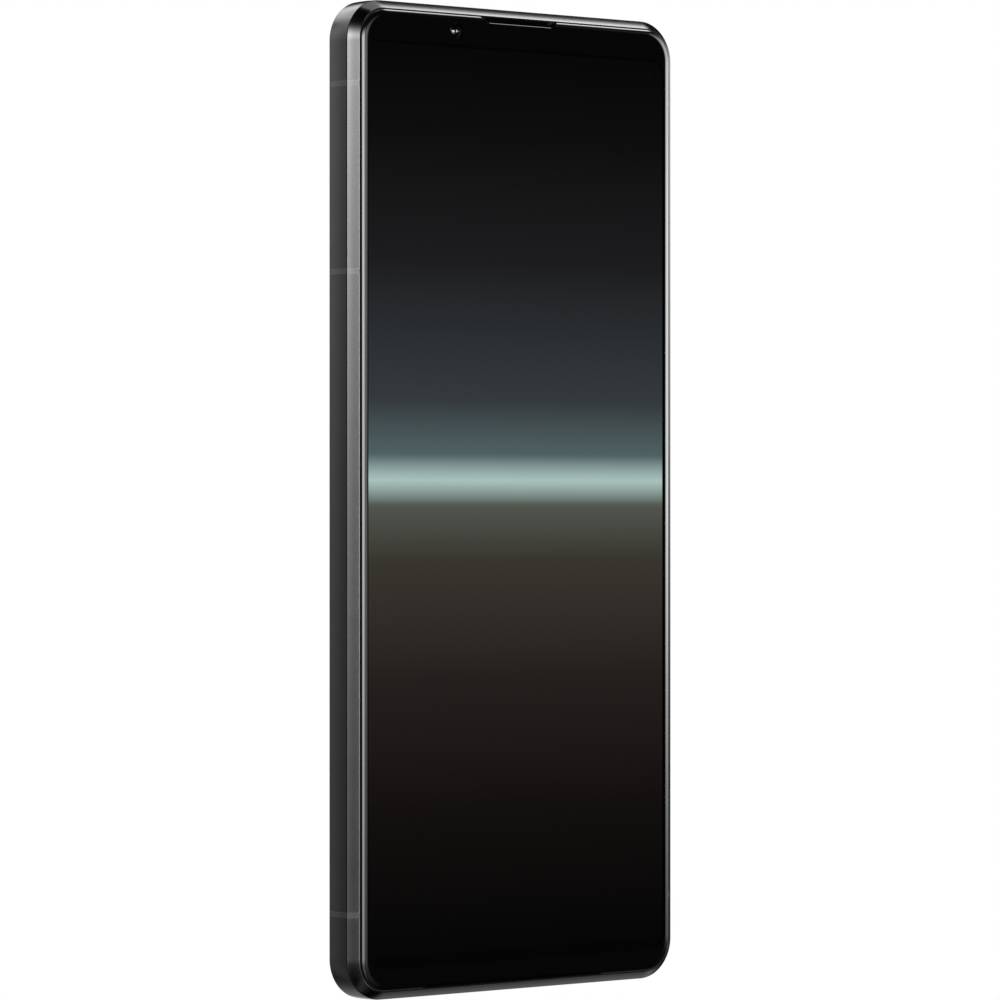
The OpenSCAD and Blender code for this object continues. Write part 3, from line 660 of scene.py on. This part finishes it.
def glass_slab(name, face, back, window=None):
    """A glass plate with a soft edge. window is the rounded rectangle in it that is clear, as its own material slot."""
    prof = glass_profile(face, back)
    rows = []
    for cx, cz, d, side in BODY:
        w = W_END + (W_SIDE - W_END) * side
        rows.append([(cx + d[0] * (R - a), y, cz + d[1] * (R - a)) for a, y in prof(w)])
    n, m = len(rows), len(rows[0])
    verts = [v for r in rows for v in r]
    faces, slots = [], []
    for i in range(n):
        k = (i + 1) % n
        for j in range(m - 1):
            faces.append((i * m + j, i * m + j + 1, k * m + j + 1, k * m + j))
            slots.append(0)
    if window:
        x1, z0, z1, r = window
        base = len(verts)
        for cx, cz, d, side in BODY:
            px = math.copysign(x1 - r, cx)
            pz = z1 - r if cz > 78 else z0 + r
            # the support points sit on the straights, so the loop keeps the same order
            ox, oz = cx - math.copysign(HX - R, cx), cz - (TOP - R if cz > 78 else R)
            verts.append((px + ox + d[0] * r, face, pz + oz + d[1] * r))
        for cx, cz, d, side in BODY:
            px = math.copysign(x1 - r, cx)
            pz = z1 - r if cz > 78 else z0 + r
            ox, oz = cx - math.copysign(HX - R, cx), cz - (TOP - R if cz > 78 else R)
            verts.append((px + ox + d[0] * r, back, pz + oz + d[1] * r))
        for i in range(n):
            k = (i + 1) % n
            faces.append((i * m + m - 1, base + i, base + k, k * m + m - 1))
            slots.append(0)
            faces.append((i * m, base + n + i, base + n + k, k * m))
            slots.append(0)
        faces.append(tuple(base + i for i in range(n)))
        slots.append(1)
        faces.append(tuple(base + n + i for i in range(n))[::-1])
        slots.append(1)
    else:
        faces.append(tuple(i * m + m - 1 for i in range(n)))
        faces.append(tuple(i * m for i in range(n))[::-1])
        slots += [0, 0]
    return new_object(name, verts, faces, slots)


front = glass_slab("front_glass", YF, -3.5, (30.74, 4.95, 149.65, 3.4))
FC = (-12.8, 151.8)


def prism(name, pts, y0, y1):
    n = len(pts)
    verts = [(x, y0, z) for x, z in pts] + [(x, y1, z) for x, z in pts]
    return new_object(name, verts, [tuple(range(n))[::-1], tuple(range(n, 2 * n))] + [(i, (i + 1) % n, n + (i + 1) % n, n + i) for i in range(n)])


def flared(name, pts, flare):
    """A cutter through the front glass that opens by flare where it meets the glass face."""
    p = np.array(pts, float)
    n = len(p)
    area = sum(p[i][0] * p[(i + 1) % n][1] - p[(i + 1) % n][0] * p[i][1] for i in range(n))
    rings = []
    for y, d in ((-5.0, flare), (YF, flare), (YF + 0.88 * flare, 0.0), (-3.0, 0.0)):
        for i in range(n):
            t = p[(i + 1) % n] - p[i - 1]
            out = np.array([t[1], -t[0]]) / (np.linalg.norm(t) or 1) * (1 if area > 0 else -1)
            rings.append((p[i][0] + out[0] * d, y, p[i][1] + out[1] * d))
    faces = [tuple(range(n))[::-1], tuple(range(3 * n, 4 * n))]
    faces += [(r * n + i, r * n + (i + 1) % n, (r + 1) * n + (i + 1) % n, (r + 1) * n + i) for r in range(3) for i in range(n)]
    return new_object(name, rings, faces)


notch = rounded([(-8.05, 156), (-8.05, TOP - W_END - GAP + 0.02), (-6.45, TOP - W_END - GAP - 0.92), (6.45, TOP - W_END - GAP - 0.92),
                 (8.05, TOP - W_END - GAP + 0.02), (8.05, 156)], [0, 0.5, 0.7, 0.7, 0.5, 0], [0, 5, 6, 6, 5, 0], e=0.01)
slot_low = rounded([(-19.5, 0), (-19.5, W_END + GAP - 0.02), (-18.7, W_END + GAP + 0.5), (16.4, W_END + GAP + 0.5),
                    (17.2, W_END + GAP - 0.02), (17.2, 0)], [0, 0.2, 0.3, 0.3, 0.2, 0], [0, 4, 4, 4, 4, 0], e=0.01)
paint(front, "screen_glass", "clear_glass")
boolean(front, [flared("c", notch, 0.05), flared("c", slot_low, 0.06), lathe("c", [(0, -5), (1.40, -5), (1.40, -3), (0, -3)], *FC)])
piece(front, ["screen_glass", "clear_glass"], ["cover_glass"], angle=40)
port = lathe("front_camera_port", [(0, -3.5), (1.12, -3.5), (1.36, -3.5), (1.38, -3.52), (1.38, -4.08), (1.36, -4.1), (1.12, -4.1), (0, -4.1)], *FC)
for f_ in port.data.polygons:
    # black ink outside the lens, and on the wall of the hole
    f_.material_index = 0 if all(math.hypot(port.data.vertices[v].co.x - FC[0] / 1000, port.data.vertices[v].co.z - FC[1] / 1000) > 0.00111 for v in f_.vertices) else 1
piece(port, ["screen_glass", "clear_glass"], ["cover_glass"])

panel = loft("display_panel", "y", 61.5, 144.8, 3.4, (0, 77.3), [(0.06, -2.86), (0, -2.9), (0, -3.45), (0.03, -3.48), (0.10, -3.485)], n=10)
piece(panel, "display", ["oled_panel"])

gasket = sweep("display_gasket_ring", lambda w: [(2.5, -3.28), (w + 0.006, -3.28), (w + 0.006, -3.48), (w + 0.04, -3.55), (w + 0.10, -3.57),
                                            (w + 0.16, -3.55), (w + 0.194, -3.49), (2.5, -3.488)])
boolean(gasket, [block("c", (-8.2, -4, 153), (8.2, -3, 157)), block("c", (-19.6, -4, -1), (17.3, -3, 3.2))])
piece(gasket, "gasket_rubber", ["display_gasket"])

# front camera: a stepped barrel and a domed lens
fcam = lathe("front_camera_barrel", [(0, -2.72), (1.32, -2.72), (1.34, -2.74), (1.34, -3.40), (1.31, -3.44), (1.22, -3.44), (1.18, -3.40), (1.16, -3.30), (1.06, -3.28),
                                     (1.04, -3.18), (0.96, -3.16), (0.95, -3.06), (0.60, -3.04), (0, -3.04)], *FC)
base = from_cad("front_camera_base", "front_camera", 0.05)
boolean(base, [block("c", (-20, -5, 140), (-5, -2.705, 160))])
piece(fcam, "lens_black", ["front_camera"])
piece(base, "lens_black", ["front_camera"])
dome = [(0, -3.05), (0.92, -3.05)]
for i in range(11):
    t = math.radians(28 + 62 * i / 10)
    dome.append((1.04 * math.cos(t), -2.62 - 0.80 * math.sin(t)))
dome[-1] = (0, dome[-1][1])
piece(lathe("front_camera_lens", dome, *FC), "front_lens", ["front_camera"])

# ================================================================ rear glass and camera island
rear = glass_slab("rear_glass", YB, 3.5)
paint(rear, "rear_glass")
boolean(rear, [loft("c", "y", 11.8, 45.2, 4.3, (CAM_X, ISL_Z), [(0, 3.0), (0, 4.0), (-0.03, 4.06), (-0.08, 4.1), (-0.08, 5.0)], n=18)])
piece(rear, "rear_glass", ["rear_cover"], angle=40)

lv = [(0, 3.5)] + round_over(5.1, 0.3, 1, 7)[:-1] + [(0.32, 5.1), (0.46, 5.1), (0.50, 5.095), (0.54, 5.06), (0.55, 5.0), (0.55, 4.61), (0.60, 4.6), (1.1, 4.6), (1.1, 3.5)]
piece(loft("camera_bezel_rim", "y", 11.6, 45.0, 4.2, (CAM_X, ISL_Z), lv, n=18, ring=True), "key_metal", ["camera_bezel"])

win = loft("camera_window_glass", "y", 10.4, 43.8, 3.6, (CAM_X, ISL_Z), [(0.03, 4.61), (0, 4.64)] + round_over(5.06, 0.1, 1, 4), n=18)
paint(win, "rear_glass")
ports = [(CAM_X, z, 3.85) for z in CAM_Z] + [(23.5, 146.0, 1.85), (19.4, 146.0, 1.0)]
boolean(win, [lathe("c", [(0, 4.0), (r, 4.0), (r, 6.0), (0, 6.0)], x, z) for x, z, r in ports])
piece(win, "rear_glass", ["camera_window"])
for i, (x, z, r) in enumerate(ports):
    piece(lathe("lens_port_%d" % (i + 1), [(0, 4.61), (r - 0.03, 4.61), (r - 0.01, 4.63), (r - 0.01, 5.04), (r - 0.03, 5.06), (0, 5.06)], x, z),
          "clear_glass", ["camera_window"])


def optics(tag, r, z, y_top, node, body):
    """A lens barrel: stepped baffles down to an iris, and a domed front element over them."""
    prof = [(0, 0.62), (r - 0.03, 0.62), (r - 0.001, 0.65), (r - 0.001, y_top - 0.05), (r - 0.05, y_top), (r - 0.32, y_top), (r - 0.36, y_top - 0.04)]
    rr, y = r - 0.38, y_top - 0.18
    while rr > r * 0.58:
        prof += [(rr, y), (rr - 0.10, y - 0.02)]
        rr, y = rr - 0.14, y - 0.16
    prof += [(r * 0.56, y), (r * 0.42, y - 0.02), (r * 0.42, y - 0.5), (0, y - 0.5)]
    piece(lathe(tag + "_barrel", prof, CAM_X, z), "lens_black", [node], body)
    er, ey = r * 0.60, y + 0.10
    d = [(0, ey - 0.12), (er, ey - 0.12), (er, ey - 0.04)]
    for i in range(1, 13):
        t = math.radians(90 * i / 12)
        d.append((er * math.cos(t), ey - 0.04 + 0.34 * math.sin(t)))
    d[-1] = (0, d[-1][1])
    piece(lathe(tag + "_glass", d, CAM_X, z), "lens_glass", [node], body)


optics("main_lens", 3.2, CAM_Z[1], 4.15, "main_camera_lens", "main_focus_lens")
optics("tele_lens", 2.8, CAM_Z[2], 4.15, "tele_camera_lens", "tele_focus_lens")
uw = from_cad("ultrawide_body", "ultrawide_camera", 0.06)
boolean(uw, [block("c", (10, 3.205, 120), (33, 6, 150))])
piece(uw, "module_metal", ["ultrawide_camera"])
uwl = [(0, 3.21), (2.58, 3.21), (2.6, 3.23), (2.6, 4.25), (2.55, 4.30), (2.25, 4.30), (2.2, 4.24), (2.1, 4.08), (1.98, 4.06), (1.94, 3.92), (1.8, 3.90), (1.78, 3.72), (0, 3.70)]
piece(lathe("ultrawide_barrel", uwl, CAM_X, CAM_Z[0]), "lens_black", ["ultrawide_camera"])
uwd = [(0, 3.71), (1.74, 3.71)] + [(1.74 * math.cos(math.radians(90 * i / 12)), 3.74 + 0.46 * math.sin(math.radians(90 * i / 12))) for i in range(13)]
uwd[-1] = (0, uwd[-1][1])
piece(lathe("ultrawide_glass", uwd, CAM_X, CAM_Z[0]), "lens_glass", ["ultrawide_camera"])
for i, (z, r) in enumerate(zip(CAM_Z, (2.75, 3.3, 2.95))):
    p = [(r + 0.02, 4.48), (4.28, 4.48), (4.3, 4.5), (4.3, 4.58), (4.28, 4.6), (r + 0.32, 4.6), (r + 0.28, 4.585), (r + 0.24, 4.59), (r + 0.10, 4.585), (r, 4.55)]
    n = 96
    verts = [(CAM_X + a * math.cos(2 * math.pi * k / n), y, z + a * math.sin(2 * math.pi * k / n)) for k in range(n) for a, y in p]
    m = len(p)
    faces = [(k * m + j, k * m + (j + 1) % m, ((k + 1) % n) * m + (j + 1) % m, ((k + 1) % n) * m + j) for k in range(n) for j in range(m)]
    piece(new_object("trim_ring_%d" % (i + 1), verts, faces), "trim_ring", ["lens_trim_rings"])

# flash: a diffusing lens with moulded rings, and the small sensor beside it
fl = [(0, 2.81), (1.68, 2.81), (1.7, 2.83), (1.7, 4.18), (1.66, 4.22)]
for i in range(6):
    r0 = 1.6 - i * 0.24
    fl += [(r0, 4.24), (r0 - 0.05, 4.34), (r0 - 0.20, 4.26)]
fl += [(0.12, 4.33), (0, 4.345)]
piece(lathe("flash_diffuser", fl, 23.5, 146.0), "flash_lens", ["flash_module"])
piece(lathe("light_sensor", [(0, 2.81), (0.88, 2.81), (0.9, 2.83), (0.9, 4.2), (0.86, 4.25), (0.7, 4.3), (0.4, 4.34), (0, 4.35)], 19.4, 146.0), "sensor_glass", ["flash_module"])
piece(loft("flash_plate", "y", 8.6, 6.6, 0.3, (CAM_X, 145.7), [(0.03, 2.4), (0, 2.43), (0, 2.77), (0.03, 2.8)], n=4), "module_metal", ["flash_module"])

# ================================================================ keys, tray and sockets, with their CAD shape and eased edges
for name, node, body, mat, slot_name, w in (
    ("volume_key_cap", "volume_key", "volume_rocker", "key_metal", "key_metal", 0.14),
    ("power_key_cap", "power_key", "power_button", "key_metal", "key_metal", 0.08),
    ("shutter_key_cap", "shutter_key", "shutter_button", "key_metal", "key_metal", 0.14),
    ("fingerprint_plate", "fingerprint_sensor", "power_button", "sensor_glass", "sensor_glass", 0.05),
    ("card_tray_body", "sim_tray", "card_tray", "key_metal", "key_metal", 0.06),
    ("usb_mouth", "usb_shell", ROOT, "stamped_steel", "stamped_steel", 0.06),
    ("usb_tongue_body", "usb_tongue", ROOT, "black_plastic", "black_plastic", 0.06),
    ("headphone_body", "audio_jack", ROOT, "black_plastic", "black_plastic", 0.05),
):
    ob = from_cad(name, node, w)
    piece(ob, mat, [node], body)


def woven(name, x0, x1, z0, z1, y0, y1, pitch=0.22, bar=0.085):
    """A perforated screen: a plate with rows of square holes."""
    nx, nz = max(1, round((x1 - x0) / pitch)), max(1, round((z1 - z0) / pitch))
    px, pz = (x1 - x0) / nx, (z1 - z0) / nz
    verts, faces, seen = [], [], {}

    def v(x, y, z):
        key = (round(x, 5), round(y, 5), round(z, 5))
        if key not in seen:
            seen[key] = len(verts)
            verts.append((x, y, z))
        return seen[key]

    for i in range(nx):
        for j in range(nz):
            a, b = x0 + i * px, z0 + j * pz
            o = [(a, b), (a + px, b), (a + px, b + pz), (a, b + pz)]
            h = [(a + bar / 2, b + bar / 2), (a + px - bar / 2, b + bar / 2), (a + px - bar / 2, b + pz - bar / 2), (a + bar / 2, b + pz - bar / 2)]
            for k in range(4):
                q = (k + 1) % 4
                faces.append((v(o[k][0], y0, o[k][1]), v(o[q][0], y0, o[q][1]), v(h[q][0], y0, h[q][1]), v(h[k][0], y0, h[k][1])))
                faces.append((v(o[k][0], y1, o[k][1]), v(h[k][0], y1, h[k][1]), v(h[q][0], y1, h[q][1]), v(o[q][0], y1, o[q][1])))
                faces.append((v(h[k][0], y0, h[k][1]), v(h[q][0], y0, h[q][1]), v(h[q][0], y1, h[q][1]), v(h[k][0], y1, h[k][1])))
    for i in range(nx):
        a, c = x0 + i * px, x0 + (i + 1) * px
        faces.append((v(a, y0, z0), v(a, y1, z0), v(c, y1, z0), v(c, y0, z0)))
        faces.append((v(a, y0, z1), v(c, y0, z1), v(c, y1, z1), v(a, y1, z1)))
    for j in range(nz):
        a, c = z0 + j * pz, z0 + (j + 1) * pz
        faces.append((v(x0, y0, a), v(x0, y0, c), v(x0, y1, c), v(x0, y1, a)))
        faces.append((v(x1, y0, a), v(x1, y1, a), v(x1, y1, c), v(x1, y0, c)))
    return new_object(name, verts, faces)


piece(woven("earpiece_screen", -6.35, 6.35, 153.52, 154.43, -3.48, -3.40), "mesh_black", ["earpiece_mesh"], angle=20, weighted=False)
piece(woven("loudspeaker_screen", -18.45, 16.25, 1.57, 2.38, -3.48, -3.40), "mesh_black", ["loudspeaker_mesh"], angle=20, weighted=False)

# ================================================================ every CAD node that still shows gets its own finish
slot_of = {s["node"]: s["material_slot"] for s in frame["record"]["subparts"]}
for n, ob in nodes.items():
    m = M.get(slot_of.get(n, ""), M["black_plastic"])
    if not ob.data.materials:
        ob.data.materials.append(m)
    for s in ob.material_slots:
        s.link = "OBJECT"
        s.material = m

# ================================================================ floor, light and camera
fl_v = [(-6000, -6000, -0.06), (6000, -6000, -0.06), (6000, 6000, -0.06), (-6000, 6000, -0.06)]
floor = new_object("floor", fl_v, [(0, 1, 2, 3)])
k = Mat("floor_white")
dif = k.add("ShaderNodeBsdfDiffuse")
k.link(mix_rgba(k, k.noise(0.004, 2), [0.80, 0.80, 0.80], [0.84, 0.84, 0.84]), dif.inputs["Color"])
emi = k.add("ShaderNodeEmission")
emi.inputs["Color"].default_value = (1, 1, 1, 1)
emi.inputs["Strength"].default_value = 1.0
mx = k.add("ShaderNodeMixShader")
lp = k.add("ShaderNodeLightPath")
k.link(lp.outputs["Is Camera Ray"], mx.inputs[0])
k.link(dif.outputs[0], mx.inputs[1])
k.link(emi.outputs[0], mx.inputs[2])
k.link(mx.outputs[0], k.out.inputs["Surface"])
floor.data.materials.append(k.m)
floor.visible_glossy = False
floor.visible_diffuse = False
floor.visible_transmission = False
floor.visible_shadow = False

world = bpy.data.worlds.new("studio")
scene.world = world
world.use_nodes = True
wt = world.node_tree
wt.nodes.clear()
wo = wt.nodes.new("ShaderNodeOutputWorld")
bg_cam = wt.nodes.new("ShaderNodeBackground")
bg_cam.inputs["Color"].default_value = (1, 1, 1, 1)
bg_env = wt.nodes.new("ShaderNodeBackground")
tc = wt.nodes.new("ShaderNodeTexCoord")
sx = wt.nodes.new("ShaderNodeSeparateXYZ")
wt.links.new(tc.outputs["Generated"], sx.inputs[0])


def wmath(op, a, b=0.0):
    n = wt.nodes.new("ShaderNodeMath")
    n.operation = op
    for s, v in zip(n.inputs, (a, b)):
        if isinstance(v, bpy.types.NodeSocket):
            wt.links.new(v, s)
        else:
            s.default_value = v
    return n.outputs[0]


# azimuth, 0 in front of the screen and 90 towards +X, and elevation, both in degrees
AZ = wmath("MULTIPLY", wmath("ARCTAN2", sx.outputs["X"], wmath("MULTIPLY", sx.outputs["Y"], -1.0)), 180 / math.pi)
EL = wmath("MULTIPLY", wmath("ARCSINE", sx.outputs["Z"]), 180 / math.pi)


def curve(sock, lo_, hi_, stops):
    """A smooth curve through (degrees, value) stops."""
    top = max(v for _, v in stops)
    n = wt.nodes.new("ShaderNodeMapRange")
    n.inputs["From Min"].default_value, n.inputs["From Max"].default_value = lo_, hi_
    wt.links.new(sock, n.inputs["Value"])
    c = wt.nodes.new("ShaderNodeValToRGB")
    c.color_ramp.interpolation = "LINEAR"
    el = c.color_ramp.elements
    while len(el) > 1:
        el.remove(el[-1])
    for i, (d, v) in enumerate(stops):
        e = el[0] if i == 0 else el.new((d - lo_) / (hi_ - lo_))
        e.position = (d - lo_) / (hi_ - lo_)
        e.color = (v / top, v / top, v / top, 1)
    wt.links.new(n.outputs["Result"], c.inputs["Fac"])
    return wmath("MULTIPLY", c.outputs["Color"], top)


LOBES = (
    # over the camera: a panel whose lower edge fades out, seen in the left chamfer
    ([(-180, 0), (-56, 0), (-52, 1.4), (-46, 1.8), (-43, 1.35), (-41, 1.03), (-39, 0.95), (-33, 0.93), (-31, 0.7), (-28.5, 0.2), (-26.5, 0), (180, 0)],
     [(-40, 0.02), (-12, 0.12), (-8, 0.23), (-6, 0.34), (-4, 0.46), (-2, 0.64), (0, 1.02), (2, 2.05), (4, 3.8), (6, 5.2), (9, 7.0), (13, 7.4), (18, 5.2), (24, 2.2), (30, 0.4), (36, 0.02), (90, 0.02)]),
    # strip at the left, which the softened edge of the metal catches
    ([(-180, 0), (-77, 0), (-73, 0.6), (-69, 1), (-62, 1), (-54, 0.5), (-48, 0.1), (-45, 0), (180, 0)],
     [(-40, 0.3), (-12, 1.0), (-8, 1.4), (-6, 1.7), (-3, 2.1), (0, 2.9), (2, 6.0), (4, 10.5), (6, 13), (20, 11), (27, 4), (35, 0.5), (45, 0), (90, 0)]),
    # strip in front, which the curved edge of the glass catches, open in the middle so that the screen stays dark from the front
    ([(-180, 0), (-28.5, 0), (-26.5, 1.25), (-24, 1), (-19, 0.72), (-10, 0.68), (-3.8, 0.74), (-2.8, 0), (2.8, 0), (3.8, 0.28), (8, 0.24), (14, 0.17), (20, 0.12), (30, 0.05), (35.5, 0), (180, 0)],
     [(-40, 0.3), (-12, 2.4), (-6, 6.0), (-3, 10.5), (0, 15.0), (6, 17.5), (11, 16), (17, 7), (22, 1.5), (27, 0.1), (32, 0), (90, 0)]),
    # weak fill behind, at the left
    ([(-180, 0.03), (-168, 0.08), (-160, 0.35), (-152, 0.95), (-147, 1), (-143, 0.78), (-138, 0.44), (-132, 0.24), (-122, 0.12), (-108, 0.08), (-92, 0.06), (-84, 0), (150, 0), (180, 0.03)],
     [(-40, 0.2), (-8, 0.42), (-3, 0.5), (0, 0.64), (3, 0.88), (6, 1.14), (10, 1.3), (30, 1.3), (60, 0.8), (90, 0.5)]),
    # panel at the right
    ([(-180, 0), (44.5, 0), (47, 0.35), (52, 0.8), (60, 1), (84, 1), (91, 0.7), (99, 0.34), (106, 0.10), (112, 0.01), (116, 0), (180, 0)],
     [(-25, 0.0), (-12, 0.03), (-8, 0.2), (-5.6, 0.6), (-4.6, 1.1), (-3.4, 2.3), (-2.3, 4.0), (-1.15, 6.4), (0, 8.2), (3.3, 8.6), (5.6, 6.2), (12, 5), (18, 4), (26, 0.6), (34, 0)]),
    # its dim far end, which the right chamfer mirrors
    ([(-180, 0), (98, 0), (106, 1), (150, 1), (165, 0.2), (180, 0)],
     [(-30, 0.01), (-8, 0.02), (-4.6, 0.03), (-2.3, 0.05), (-1.15, 0.14), (0, 0.26), (1.15, 0.42), (3.3, 0.75), (5.6, 0.9), (9, 0.5), (14, 0.08), (18, 0)]),
    # overhead panel in front at the right, seen in the top chamfer
    ([(-180, 0), (54, 0), (62, 0.35), (70, 1), (83, 1), (86, 0.86), (89, 0.55), (92, 0.22), (96, 0.02), (99, 0), (180, 0)],
     [(-30, 0.0), (37, 0), (41, 2.5), (45, 14), (51, 14), (55, 6), (59, 1), (63, 0), (90, 0)]),
    # overhead panel behind, which the rounded upper corner of the side catches
    ([(-180, 1), (-166, 0.9), (-158, 0.5), (-150, 0.15), (-143, 0), (141, 0), (152, 0.5), (164, 1), (180, 1)],
     [(-30, 0.0), (18, 0), (25, 0.06), (29, 0.4), (33, 2.2), (38, 3.4), (43, 2.0), (50, 0.5), (60, 0.08), (90, 0)]),
    # low panel behind at the right, which only the rear glass mirrors
    ([(-180, 0), (124, 0), (130, 0.7), (140, 1), (158, 1), (172, 0.3), (180, 0)],
     [(-90, 0), (-34, 0), (-27, 0.22), (-20, 0.5), (-12, 0.85), (-7, 0.5), (-3, 0), (90, 0)]),
    # light from below, behind at the right
    ([(-180, 0.4), (-150, 0), (78, 0), (86, 0.3), (94, 0.7), (102, 1), (150, 1), (180, 0.4)],
     [(-90, 0.2), (-62, 0.8), (-40, 0.8), (-28, 0.15), (-18, 0), (90, 0)]),
)
total = None
for az_stops, el_stops in LOBES:
    part = wmath("MULTIPLY", curve(AZ, -180, 180, az_stops), curve(EL, -90, 90, ([] if el_stops[0][0] == -90 else [(-90, el_stops[0][1])]) + list(el_stops)))
    total = part if total is None else wmath("ADD", total, part)
total = wmath("ADD", total, 0.004)
wt.links.new(total, bg_env.inputs["Strength"])
bg_env.inputs["Color"].default_value = (1, 1, 1, 1)
ms = wt.nodes.new("ShaderNodeMixShader")
wl = wt.nodes.new("ShaderNodeLightPath")
wt.links.new(wl.outputs["Is Camera Ray"], ms.inputs[0])
wt.links.new(bg_env.outputs[0], ms.inputs[1])
wt.links.new(bg_cam.outputs[0], ms.inputs[2])
wt.links.new(ms.outputs[0], wo.inputs["Surface"])

CENTRE = np.array([0, 0, 0.078])


def softbox(name, az, el_, dist, w, h, radiance, spread=None):
    """An area light seen from the phone at azimuth az and elevation el_, in degrees. Azimuth 0 is in front of the screen and 90 towards +X. radiance is how bright its face is."""
    a, e_ = math.radians(az), math.radians(el_)
    d = np.array([math.sin(a) * math.cos(e_), -math.cos(a) * math.cos(e_), math.sin(e_)])
    li = bpy.data.lights.new(name, "AREA")
    li.shape, li.size, li.size_y = "RECTANGLE", w, h
    li.energy = radiance * math.pi * w * h
    if spread:
        li.spread = math.radians(spread)
    ob = bpy.data.objects.new(name, li)
    ob.location = CENTRE + d * dist
    ob.rotation_euler = (math.pi / 2 - e_, 0, a)
    scene.collection.objects.link(ob)
    ob.visible_camera = False
    return ob


softbox("overhead", 60, 74, 1.6, 0.9, 0.9, 1.6)

cam = bpy.data.cameras.new("view")
cam.lens, cam.sensor_width, cam.sensor_fit = 178.10, 36.0, "HORIZONTAL"
cam.clip_start, cam.clip_end = 0.01, 50
cam.shift_x, cam.shift_y = -0.0038, -0.00003
co = bpy.data.objects.new("view", cam)
TH = math.radians(39.56)
co.location = (-0.78997 * math.sin(TH), -0.78997 * math.cos(TH), 0.078)
co.rotation_euler = (math.pi / 2, 0, -TH)
scene.collection.objects.link(co)
scene.camera = co
scene.view_settings.view_transform = "Standard"
scene.view_settings.look = "None"
